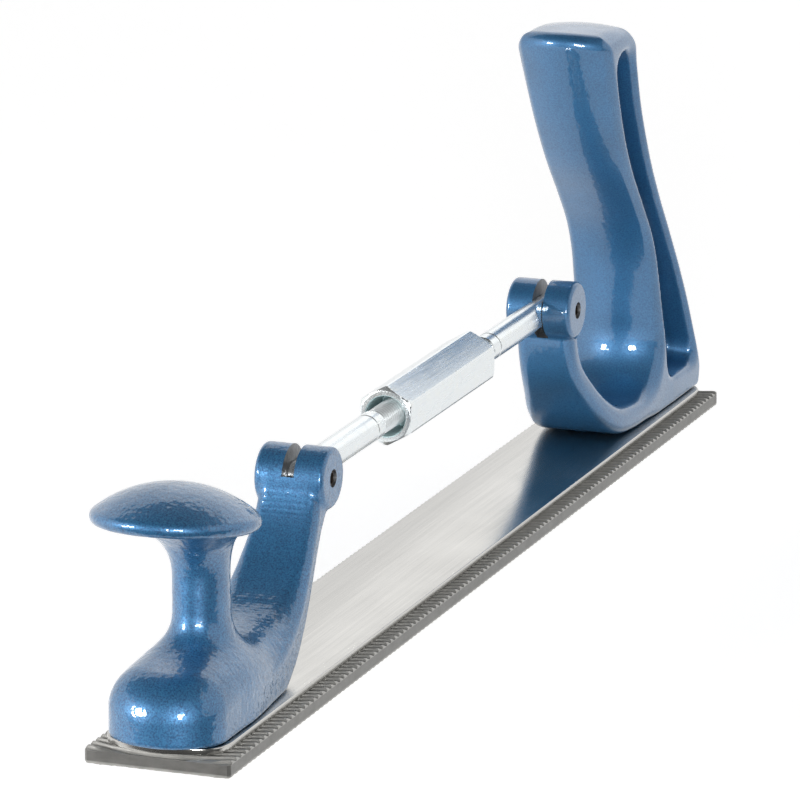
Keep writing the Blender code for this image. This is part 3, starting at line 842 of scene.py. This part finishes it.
def turned_bore(finishes):
    """Dull plate inside the nut's counterbores, with rings from the turning tool."""
    _, tree, shader, place = new_finish("turned_bore")
    rings = noise(tree, stretched(tree, place, (0.2, 3.0, 0.2)), 1.0, 3.0, 0.6)
    dark = shaded(finishes.zinc, 0.72, 0.9, 0.9)
    pale = shaded(finishes.zinc, 0.86, 1.0, 1.0)
    feed(tree, shader, {
        "Base Color": ramp(tree, rings, [(0.3, dark), (0.7, pale)]),
        "Roughness": remap(tree, rings, 0.4, 0.55, *NOISE_SPAN),
        "Metallic": 0.3,
        "Normal": bump(tree, rings, 0.2, 0.0001),
    })


def milled_slot(finishes):
    """Bare grey metal with the cutter's marks."""
    _, tree, shader, place = new_finish("milled_slot")
    marks = noise(tree, stretched(tree, place, (1.0, 3.5, 0.9)), 1.0, 4.0, 0.65)
    dark = shaded(finishes.bare, 0.55)
    light = shaded(finishes.bare, 1.5)
    feed(tree, shader, {
        "Base Color": ramp(tree, marks, [(0.32, dark), (0.68, light)]),
        "Roughness": remap(tree, marks, 0.36, 0.55, *NOISE_SPAN),
        "Metallic": 0.9,
        "Normal": bump(tree, marks, 0.25, 0.0002),
    })


def oiled_pin(finishes):
    """Dark oiled spring steel."""
    _, tree, shader, place = new_finish("oiled_pin")
    patch = noise(tree, place, 0.9, 4.0, 0.6)
    light = shaded(finishes.pin, 2.2)
    feed(tree, shader, {
        "Base Color": ramp(tree, patch, [(0.35, tuple(finishes.pin)), (0.7, light)]),
        "Roughness": remap(tree, patch, 0.3, 0.5, *NOISE_SPAN),
        "Metallic": 0.8,
        "Normal": bump(tree, patch, 0.1, 0.0001),
    })


FINISHES = {
    "hammered_paint": hammered_paint,
    "smooth_paint": smooth_paint,
    "brushed_strip": brushed_strip,
    "milled_steel": milled_steel,
    "bright_zinc": bright_zinc,
    "rolled_thread": rolled_thread,
    "turned_bore": turned_bore,
    "milled_slot": milled_slot,
    "oiled_pin": oiled_pin,
}


def finish(name):
    """A finish by name, made once, and never one of the frame's own materials."""
    if name in FRAME_MATERIALS:
        raise ValueError(name + " is a material of the frame")
    if name not in bpy.data.materials:
        FINISHES[name](bpy.context.scene.body_file_finishes)
    return bpy.data.materials[name]


# Pieces

# The slot's cutter, and where its middle stands from the pin
SLOT_CUTTER = 16.0
SLOT_CUTTER_Y = 7.3
SLOT_CUTTER_Z = 7.9


def make_casting(name, field, low, high, pin_y, body):
    """Skin a casting, mill its slot and drill its pin hole."""
    sizes = bpy.context.scene.body_file_sizes
    points, faces = surface_net(field, low, high, length(sizes.casting_step))
    paint = "hammered_paint" if body == "front" else "smooth_paint"
    casting = mesh_piece(name, points, faces, finish(paint))
    casting.data.materials.append(finish("milled_slot"))
    half = length(sizes.slot_width) / 2
    toward = 1 if body == "front" else -1
    disc = [(SLOT_CUTTER, -half), (SLOT_CUTTER, half)]
    centre = (0, pin_y + toward * SLOT_CUTTER_Y, PIN_Z + SLOT_CUTTER_Z)
    cut(casting, turned(name + "_slot", disc, centre, 'X', 120, finish("milled_slot")))
    drill = [(PIN_HOLE, -12), (PIN_HOLE, 12)]
    centre = (0, pin_y, PIN_Z)
    cut(casting, turned(name + "_pin_hole", drill, centre, 'X', 40, finish("milled_slot")))
    shade_by_field(casting, field)
    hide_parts(body + "_casting")
    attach(casting, body)


# One tooth: share of the pitch and share of the depth
TOOTH = np.array([
    (0.0, 0.0), (0.08, 0.03), (0.26, 0.26), (0.44, 0.56), (0.60, 0.84), (0.70, 0.98),
    (0.78, 0.96), (0.86, 0.72), (0.93, 0.36), (0.98, 0.06), (1.0, 0.0),
])
# Chamfers of the blade's ends, and the length over which the lower teeth run out there
END_CHAMFER_TOP = 0.9
END_CHAMFER_LOW = 0.5
END_CHAMFER_SIDE = 0.7
END_LAND = 2.5
# How far the outermost two columns of points are eased down at the long edges
EDGE_EASE = 0.6
INNER_EASE = 0.22
COUNTERSINK = [(5.7, -1), (5.7, 1.3), (3.1, 3.9), (3.1, 6)]
MERGE_DISTANCE = 1e-6


def blade_ring(station, across, ease, sizes):
    """One row of points round the blade, along a tooth's arc and cut off straight at the ends."""
    pitch = length(sizes.tooth_pitch)
    sweep = length(sizes.tooth_sweep) * across ** 2
    y = np.clip(station + sweep, BLADE_FRONT, BLADE_REAR)
    deep = length(sizes.tooth_depth) * read(TOOTH, (y - sweep) / pitch % 1.0)
    end = np.minimum(y - BLADE_FRONT, BLADE_REAR - y)
    x = across * (BLADE_HALF_WIDTH - np.maximum(END_CHAMFER_SIDE - end, 0))
    under = np.maximum(deep * np.clip(end / END_LAND, 0, 1), ease)
    under = np.maximum(under, END_CHAMFER_LOW - end)
    deep = np.maximum(np.maximum(deep, ease), END_CHAMFER_TOP - end)
    top = np.stack([x, y, BLADE_THICKNESS - deep], axis=1)
    low = np.stack([x, y, under], axis=1)
    return np.concatenate([top, low[::-1]])


def make_blade():
    """Both toothed faces, closed round the edges, with countersunk holes for the screws."""
    sizes = bpy.context.scene.body_file_sizes
    across = np.array([-1, -0.985, *np.linspace(-0.95, 0.95, 25), 0.985, 1])
    ease = np.zeros(len(across))
    ease[[0, -1]] = EDGE_EASE
    ease[[1, -2]] = INNER_EASE
    pitch = length(sizes.tooth_pitch)
    first = math.floor((BLADE_FRONT - length(sizes.tooth_sweep)) / pitch)
    last = math.ceil(BLADE_REAR / pitch)
    stations = [(i + share) * pitch for i in range(first, last) for share in TOOTH[:-1, 0]]
    stations.append(last * pitch)
    points = np.concatenate([blade_ring(s, across, ease, sizes) for s in stations])
    faces = tube_faces(len(stations), 2 * len(across))
    blade = mesh_piece("toothed_blade", points, faces, finish("milled_steel"), 25)
    bm = bmesh.new()
    bm.from_mesh(blade.data)
    bmesh.ops.remove_doubles(bm, verts=bm.verts, dist=MERGE_DISTANCE)
    bmesh.ops.dissolve_degenerate(bm, edges=bm.edges, dist=MERGE_DISTANCE)
    bm.to_mesh(blade.data)
    bm.free()
    outward(blade)
    for end, y in SCREW_STATIONS:
        cut(blade, turned(end + "_hole", COUNTERSINK, (0, y, 0), 'Z', 48, finish("milled_steel")))
    sharpen(blade, 25)
    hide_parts("file_blade")
    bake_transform(blade)


STRIP_HALF_WIDTH = 14.8
STRIP_FRONT = -1.2
STRIP_END_LENGTH = 9.5
# Half width at the very tips
STRIP_TIP = 1.5
STRIP_EDGE = 0.35
STRIP_EDGE_Z = 0.4
# The stations of a point and of its mirror image at the other end make this sum
STRIP_BOTH_ENDS = 349.8


def make_strip():
    """The spring strip: rounded long edges and blunt rounded ends."""
    stations = []
    for k in range(15):
        a = math.pi / 2 * k / 14
        y = STRIP_FRONT + STRIP_END_LENGTH * (1 - math.cos(a) ** 0.85)
        stations.append((y, STRIP_HALF_WIDTH * math.sin(a) ** 0.75 if k else STRIP_TIP))
    rows = stations + [(y, STRIP_HALF_WIDTH) for y in np.linspace(12, 338, 82)]
    rows += [(STRIP_BOTH_ENDS - y, half) for y, half in stations[::-1]]
    corner = [
        (STRIP_EDGE * math.cos(a), STRIP_EDGE_Z + STRIP_EDGE * math.sin(a))
        for a in np.linspace(0, math.pi / 2, 5)
    ]
    points = []
    for y, half in rows:
        right = [(half - STRIP_EDGE + u, -v) for u, v in corner[::-1]]
        right += [(half - STRIP_EDGE + u, v) for u, v in corner]
        ring = right + [(-x, z) for x, z in right[::-1]]
        points += [(x, y, STRIP_Z + z) for x, z in ring]
    faces = tube_faces(len(rows), 4 * len(corner))
    strip = outward(mesh_piece("brushed_strip", points, faces, finish("brushed_strip")))
    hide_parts("spring_strip")
    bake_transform(strip)


ROD_RADIUS = 3.55
EYE_HALF_WIDTH = 1.35
EYE_END = 11.0
# The eye's flats run out into the shank with this radius, up to this distance from the pin
EYE_RUN_OUT = 6.0
EYE_RUN_OUT_END = 15.8
THREAD_START = 49.0
THREAD_END = 81.4
# The thread grows to full height over the first length, and fades out toward the second station
THREAD_GROWTH = 0.9
THREAD_FADED = 81.5
# Shank from the eye to the thread, with a turned groove: distance from the pin and radius
SHANK = (
    (16.2, 3.55), (43.4, 3.55), (43.7, 3.55), (43.8, 3.4), (44.2, 3.4), (44.3, 3.55),
    (44.6, 3.55), (48.2, 3.55), (48.5, 3.55), (48.8, 3.3), (49.0, 2.7),
)


def rod_rows():
    """Sections of a rod from its pin: distance, radius, half width of the flats, half height."""
    rows = []
    for angle in (3, 9, 17, 26, 36, 48, 60, 74, 90):
        a = math.radians(angle)
        along = -ROD_RADIUS * math.cos(a)
        rows.append((along, ROD_RADIUS, EYE_HALF_WIDTH, ROD_RADIUS * math.sin(a)))
    for along in np.linspace(EYE_END, EYE_RUN_OUT_END, 13):
        half = EYE_HALF_WIDTH + EYE_RUN_OUT - math.sqrt(EYE_RUN_OUT ** 2 - (along - EYE_END) ** 2)
        rows.append((along, ROD_RADIUS, min(half, ROD_RADIUS), ROD_RADIUS))
    return rows + [(along, radius, radius, radius) for along, radius in SHANK]


def make_rod(name, pin_y, direction):
    """A rod with a flattened eye, a turned shank and a real thread.

    The front rod's thread is left-hand and the rear rod's right-hand.
    """
    pitch = length(bpy.context.scene.body_file_sizes.thread_pitch)
    around = 48
    turn = 2 * math.pi * (np.arange(around) + 0.5) / around
    points = []
    rows = rod_rows()
    for along, radius, half_x, half_z in rows:
        u = np.clip(radius * np.cos(turn), -half_x, half_x)
        v = np.clip(radius * np.sin(turn), -half_z, half_z)
        points += [(x, pin_y + direction * along, PIN_Z + z) for x, z in zip(u, v)]
    count = len(rows)
    station = THREAD_START
    step = pitch / 10
    while station < THREAD_END:
        station = min(station + step, THREAD_END)
        wave = (station / pitch - turn / (2 * math.pi)) % 1.0
        ridge = np.clip(1.25 - 2.7 * np.abs(wave - 0.5), 0, 1)
        grow = min(1.0, (station - THREAD_START) / THREAD_GROWTH, THREAD_FADED - station)
        radius = THREAD_ROOT + THREAD_HEIGHT * ridge * max(0.0, grow)
        points += [
            (r * math.cos(t), pin_y + direction * station, PIN_Z + r * math.sin(t))
            for r, t in zip(radius, turn)
        ]
        count += 1
    rod = mesh_piece(name, points, tube_faces(count, around), finish("bright_zinc"), 30)
    rod.data.materials.append(finish("rolled_thread"))
    for face in rod.data.polygons:
        face.material_index = int(face.index >= len(rows) * around)
    outward(rod)
    drill = [(PIN_HOLE, -6), (PIN_HOLE, 6)]
    cut(rod, turned(name + "_eye", drill, (0, pin_y, PIN_Z), 'X', 32, finish("bright_zinc")))
    sharpen(rod, 30)
    node = "front_rod" if direction > 0 else "rear_rod"
    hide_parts(node)
    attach(rod, node)


NUT_HALF_LENGTH = 30.0
# What the turned chamfer takes off the hexagon's corners
NUT_CORNER = 0.18
# Chamfer of the nut's ends: distance from the end, and radius over the half width of the flats
NUT_CHAMFER = ((0.0, -0.35), (0.02, -0.2), (0.12, 0.0), (0.3, 0.31), (0.5, 0.66), (0.75, 1.2))
# Bore and counterbores: distance from the middle and radius
NUT_BORE = (
    (-30.0, 5.25), (-29.75, 5.0), (-18.4, 5.0), (-17.8, 3.5),
    (17.8, 3.5), (18.4, 5.0), (29.75, 5.0), (30.0, 5.25),
)


def make_nut():
    """The long hexagon nut: turned chamfers, counterbored ends and a plain bore."""
    flats = length(bpy.context.scene.body_file_sizes.nut_flats) / 2
    middle = (FRONT_PIN_Y + REAR_PIN_Y) / 2
    around = 144
    turn = 2 * math.pi * np.arange(around) / around
    folded = (turn + math.pi / 6) % (math.pi / 3) - math.pi / 6
    hexagon = np.minimum(flats / np.cos(folded), flats / math.cos(math.pi / 6) - NUT_CORNER)
    rows = [
        (NUT_HALF_LENGTH - inset, np.minimum(hexagon, flats + over)) for inset, over in NUT_CHAMFER
    ]
    outer = rows + [(y, hexagon) for y in np.linspace(28, -28, 15)]
    outer += [(-y, r) for y, r in rows[::-1]]
    loops = outer + [(y, np.full(around, r)) for y, r in NUT_BORE]
    points = []
    for y, radius in loops:
        points += [
            (r * math.cos(t), middle + y, PIN_Z + r * math.sin(t)) for r, t in zip(radius, turn)
        ]
    faces = tube_faces(len(loops), around, False)
    last = (len(loops) - 1) * around
    for i in range(around):
        j = (i + 1) % around
        faces.append((last + i, last + j, j, i))
    nut = mesh_piece("long_hexagon_nut", points, faces, finish("bright_zinc"), 22)
    nut.data.materials.append(finish("turned_bore"))
    for face in nut.data.polygons:
        face.material_index = int(len(outer) * around <= face.index < last)
    outward(nut)
    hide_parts("turnbuckle_nut")
    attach(nut, "nut")


# Spring pin: half of its slit in degrees, bore, and rows of distance from the middle and radius
PIN_SLIT = 12
PIN_BORE = 1.3
PIN_ROWS = ((-8.1, 1.75), (-7.6, 2.02), (7.6, 2.02), (8.1, 1.75))


def make_pin(body, pin_y):
    """A rolled spring pin: a slit tube with chamfered ends."""
    name = body + "_pivot_pin"
    around = 40
    sweep = np.linspace(math.radians(PIN_SLIT), math.radians(360 - PIN_SLIT), around) + math.pi
    points = []
    for x, outer in PIN_ROWS:
        loop = [(outer * math.cos(t), outer * math.sin(t)) for t in sweep]
        loop += [(PIN_BORE * math.cos(t), PIN_BORE * math.sin(t)) for t in sweep[::-1]]
        points += [(x, pin_y + u, PIN_Z + v) for u, v in loop]
    faces = tube_faces(len(PIN_ROWS), 2 * around, False)
    for first in (0, (len(PIN_ROWS) - 1) * 2 * around):
        last = first + 2 * around - 1
        for i in range(around - 1):
            faces.append((first + i, first + i + 1, last - i - 1, last - i))
    pin = outward(mesh_piece("rolled_" + name, points, faces, finish("oiled_pin"), 35))
    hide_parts(name)
    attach(pin, body)


# Screw: radius and height from its head up, and its driving slot
SCREW = [(5.15, 0.9), (5.4, 1.05), (5.4, 1.3), (2.8, 3.9), (2.8, 11.6), (2.4, 12.0)]
DRIVE_HALF_WIDTH = 0.6
DRIVE_TOP = 2.1


def make_screw(body, y):
    """A countersunk screw with a driving slot, seen on the blade's underside."""
    name = body + "_blade_screw"
    screw = turned("slotted_" + name, SCREW, (0, y, 0), 'Z', 48, finish("bright_zinc"))
    low = (-9, y - DRIVE_HALF_WIDTH, -1)
    high = (9, y + DRIVE_HALF_WIDTH, DRIVE_TOP)
    cut(screw, block(name + "_slot", low, high, finish("bright_zinc")))
    sharpen(screw, 35)
    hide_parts(name)
    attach(screw, body)


def dress_rivets():
    """The strip's rivets keep their solids and take the plated finish."""
    for end in ("front", "rear"):
        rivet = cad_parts[end + "_strip_rivet"]
        rivet.data.materials.clear()
        rivet.data.materials.append(finish("bright_zinc"))


# Stage

# Where the dark card starts, toward the camera
CARD_START = 0.03
# The floor lies below the lowest point of the tool at its bend limits, and just under the card
FLOOR_Z = -0.022
FLOOR_DROP = 0.0003
FLOOR_REACH = 6.0
SWEEP_OUT = 1.7
SWEEP_RADIUS = 0.6
SWEEP_TOP = (2.3, 2.2)
# Points for at(), in millimetres
CAMERA_PLACE = (550.968, -1332.836, 456.556)
LAMP_TARGET = (0, 170, 40)
SENSOR_WIDTH = 36


def light_path_mix(tree, camera_side, other_side):
    """Use one value for what the camera and mirrors see, and another for light on the object."""
    rays = tree.nodes.new("ShaderNodeLightPath").outputs
    seen = arithmetic(tree, 'ADD', rays["Is Camera Ray"], rays["Is Glossy Ray"], clamp=True)
    seen = arithmetic(tree, 'ADD', seen, rays["Is Transmission Ray"], clamp=True)
    return remap(tree, seen, other_side, camera_side)


def make_world(stage):
    """White all round to look at, and an even light on the tool."""
    world = bpy.data.worlds.new("white studio")
    bpy.context.scene.world = world
    world.use_nodes = True
    tree = world.node_tree
    feed(tree, tree.nodes["Background"], {
        "Color": (1, 1, 1, 1), "Strength": light_path_mix(tree, 1.0, stage.world_fill),
    })


def stage_sheet(name, points, faces, material, z, stage):
    """A sheet of the stage, turned toward the camera."""
    mesh = bpy.data.meshes.new(name)
    mesh.from_pydata(points, [], faces)
    mesh.materials.append(material)
    sheet = link(bpy.data.objects.new(name, mesh))
    sheet.location = at(0, 0, 0) + Vector((0, 0, z))
    sheet.rotation_euler = (0, 0, stage.azimuth)
    return sheet


def make_floor(stage):
    """A white floor that keeps a soft shadow; in front, under the dark card, it is plain white."""
    side = FLOOR_REACH
    for name, near, far, glow in (
        ("floor", -CARD_START, FLOOR_REACH, 0.66), ("front floor", -FLOOR_REACH, -CARD_START, 1.0),
    ):
        material, tree, shader, _ = new_finish("white_" + name.replace(" ", "_"))
        feed(tree, shader, {
            "Base Color": (0.86, 0.86, 0.86, 1),
            "Roughness": 0.9,
            "Specular IOR Level": 0.0,
            "Emission Color": (1, 1, 1, 1),
            "Emission Strength": light_path_mix(tree, glow, 0.0),
        })
        corners = [(-side, near, 0), (side, near, 0), (side, far, 0), (-side, far, 0)]
        stage_sheet(name, corners, [(0, 1, 2, 3)], material, FLOOR_Z - FLOOR_DROP, stage)


def make_dark_cards(stage):
    """A dark sweep in front of the tool and behind the camera, and a grey ceiling, to mirror."""
    sweep = [(CARD_START, 0.0)]
    for k in range(13):
        a = math.pi / 2 * k / 12
        sweep.append((
            SWEEP_OUT + SWEEP_RADIUS * math.sin(a), SWEEP_RADIUS - SWEEP_RADIUS * math.cos(a),
        ))
    sweep.append(SWEEP_TOP)
    ceiling = [SWEEP_TOP, (1.6, 3.6), (-2.6, 3.6)]
    pale = grey(0.45)
    for name, section, shade, left, right in (
        ("dark card", sweep, 0.03, -3.6, 2.5), ("grey card", ceiling, 0.30, -6.0, 2.5),
    ):
        material, tree, shader, place = new_finish(name)
        split = new_node(tree, "ShaderNodeSeparateXYZ", {"Vector": place})
        span = remap(tree, split.outputs["X"], 0.0, 1.0, left / MM, right / MM)
        dark = grey(shade)
        colour = ramp(tree, span, [(0.0, pale), (0.13, dark), (0.87, dark), (1.0, pale)])
        feed(tree, shader, {"Base Color": colour, "Roughness": 0.9})
        points = [(side, -out, up) for out, up in section for side in (left, right)]
        faces = [(k, k + 1, k + 3, k + 2) for k in range(0, 2 * len(section) - 2, 2)]
        card = stage_sheet(name, points, faces, material, FLOOR_Z, stage)
        card.visible_camera = False


def away(azimuth, elevation):
    """The direction from the tool toward a lamp or the camera."""
    flat = math.cos(elevation)
    return Vector((math.sin(azimuth) * flat, -math.cos(azimuth) * flat, math.sin(elevation)))


def softbox(name, azimuth, elevation, distance, size, power):
    """A square lamp that looks at the middle of the tool, placed by its direction in degrees."""
    lamp = bpy.data.lights.new(name, 'AREA')
    lamp.shape = 'SQUARE'
    lamp.size = size
    lamp.energy = power
    obj = link(bpy.data.objects.new(name, lamp))
    toward = away(math.radians(azimuth), math.radians(elevation))
    obj.location = at(*LAMP_TARGET) + toward * distance
    obj.rotation_euler = toward.to_track_quat('Z', 'Y').to_euler()


def make_camera(stage):
    """The camera, upright, looking against the stage's direction."""
    a = stage.azimuth
    back = away(a, stage.elevation)
    right = Vector((math.cos(a), math.sin(a), 0))
    up = back.cross(right)
    camera = bpy.data.cameras.new("camera")
    camera.lens = stage.lens
    camera.sensor_width = SENSOR_WIDTH
    camera.clip_end = 30
    obj = link(bpy.data.objects.new("camera", camera))
    place = at(*CAMERA_PLACE)
    rows = [[right[k], up[k], back[k], place[k]] for k in range(3)]
    obj.matrix_world = Matrix(rows + [[0, 0, 0, 1]])
    bpy.context.scene.camera = obj


# Operators

FRONT_CASTING_BOX = ((-21, -10, 4), (21, 97, 67))
REAR_CASTING_BOX = ((-15, 252, 4), (15, 355, 117))


class BODYFILE_OT_front_casting(bpy.types.Operator):
    """Build the front casting with its knob"""

    bl_idname = "bodyfile.front_casting"
    bl_label = "Front Casting"

    def execute(self, context):
        make_casting(
            "knob_casting", front_casting_field, *FRONT_CASTING_BOX, FRONT_PIN_Y, "front"
        )
        return {'FINISHED'}


class BODYFILE_OT_rear_casting(bpy.types.Operator):
    """Build the rear casting with its handle"""

    bl_idname = "bodyfile.rear_casting"
    bl_label = "Rear Casting"

    def execute(self, context):
        make_casting(
            "handle_casting", rear_casting_field, *REAR_CASTING_BOX, REAR_PIN_Y, "rear"
        )
        return {'FINISHED'}


class BODYFILE_OT_blade(bpy.types.Operator):
    """Build the toothed blade"""

    bl_idname = "bodyfile.blade"
    bl_label = "Toothed Blade"

    def execute(self, context):
        make_blade()
        return {'FINISHED'}


class BODYFILE_OT_strip(bpy.types.Operator):
    """Build the spring strip and finish its rivets"""

    bl_idname = "bodyfile.strip"
    bl_label = "Spring Strip"

    def execute(self, context):
        make_strip()
        dress_rivets()
        return {'FINISHED'}


class BODYFILE_OT_turnbuckle(bpy.types.Operator):
    """Build the two rods and the long nut"""

    bl_idname = "bodyfile.turnbuckle"
    bl_label = "Turnbuckle"

    def execute(self, context):
        make_rod("left_hand_rod", FRONT_PIN_Y, 1)
        make_rod("right_hand_rod", REAR_PIN_Y, -1)
        make_nut()
        return {'FINISHED'}


class BODYFILE_OT_fixings(bpy.types.Operator):
    """Build the spring pins and the blade screws"""

    bl_idname = "bodyfile.fixings"
    bl_label = "Pins and Screws"

    def execute(self, context):
        make_pin("front", FRONT_PIN_Y)
        make_pin("rear", REAR_PIN_Y)
        for body, y in SCREW_STATIONS:
            make_screw(body, y)
        return {'FINISHED'}


class BODYFILE_OT_stage(bpy.types.Operator):
    """Build the floor, the lamps, the world and the camera"""

    bl_idname = "bodyfile.stage"
    bl_label = "Stage"

    def execute(self, context):
        stage = context.scene.body_file_stage
        context.scene.view_settings.view_transform = 'Standard'
        make_world(stage)
        make_floor(stage)
        make_dark_cards(stage)
        softbox("right softbox", 21, 8, distance=1.2, size=0.25, power=stage.lamp_power)
        softbox("left softbox", -37, 8, distance=1.2, size=0.25, power=stage.lamp_power)
        softbox("back light", 178, 36, distance=1.6, size=1.4, power=1.8)
        make_camera(stage)
        return {'FINISHED'}


class BODYFILE_PT_panel(bpy.types.Panel):
    """Lists the pieces of the body file and their settings"""

    bl_idname = "BODYFILE_PT_panel"
    bl_label = "Body File"
    bl_space_type = 'VIEW_3D'
    bl_region_type = 'UI'
    bl_category = "Body File"

    def draw(self, context):
        layout = self.layout
        for operator in OPERATORS:
            layout.operator(operator.bl_idname)
        for group in GROUPS:
            settings = getattr(context.scene, group)
            column = layout.column()
            for name in settings.__annotations__:
                column.prop(settings, name)


GROUPS = {
    "body_file_sizes": BodyFileSizes,
    "body_file_finishes": BodyFileFinishes,
    "body_file_stage": BodyFileStage,
}
OPERATORS = (
    BODYFILE_OT_front_casting, BODYFILE_OT_rear_casting, BODYFILE_OT_blade, BODYFILE_OT_strip,
    BODYFILE_OT_turnbuckle, BODYFILE_OT_fixings, BODYFILE_OT_stage,
)


CLASSES = (*GROUPS.values(), *OPERATORS, BODYFILE_PT_panel)


def register():
    for cls in CLASSES:
        bpy.utils.register_class(cls)
    for name, group in GROUPS.items():
        setattr(bpy.types.Scene, name, PointerProperty(type=group))


def unregister():
    for name in GROUPS:
        delattr(bpy.types.Scene, name)
    for cls in reversed(CLASSES):
        bpy.utils.unregister_class(cls)


def main():
    register()
    for operator in OPERATORS:
        group, name = operator.bl_idname.split(".")
        getattr(getattr(bpy.ops, group), name)()


if __name__ == "__main__":
    main()
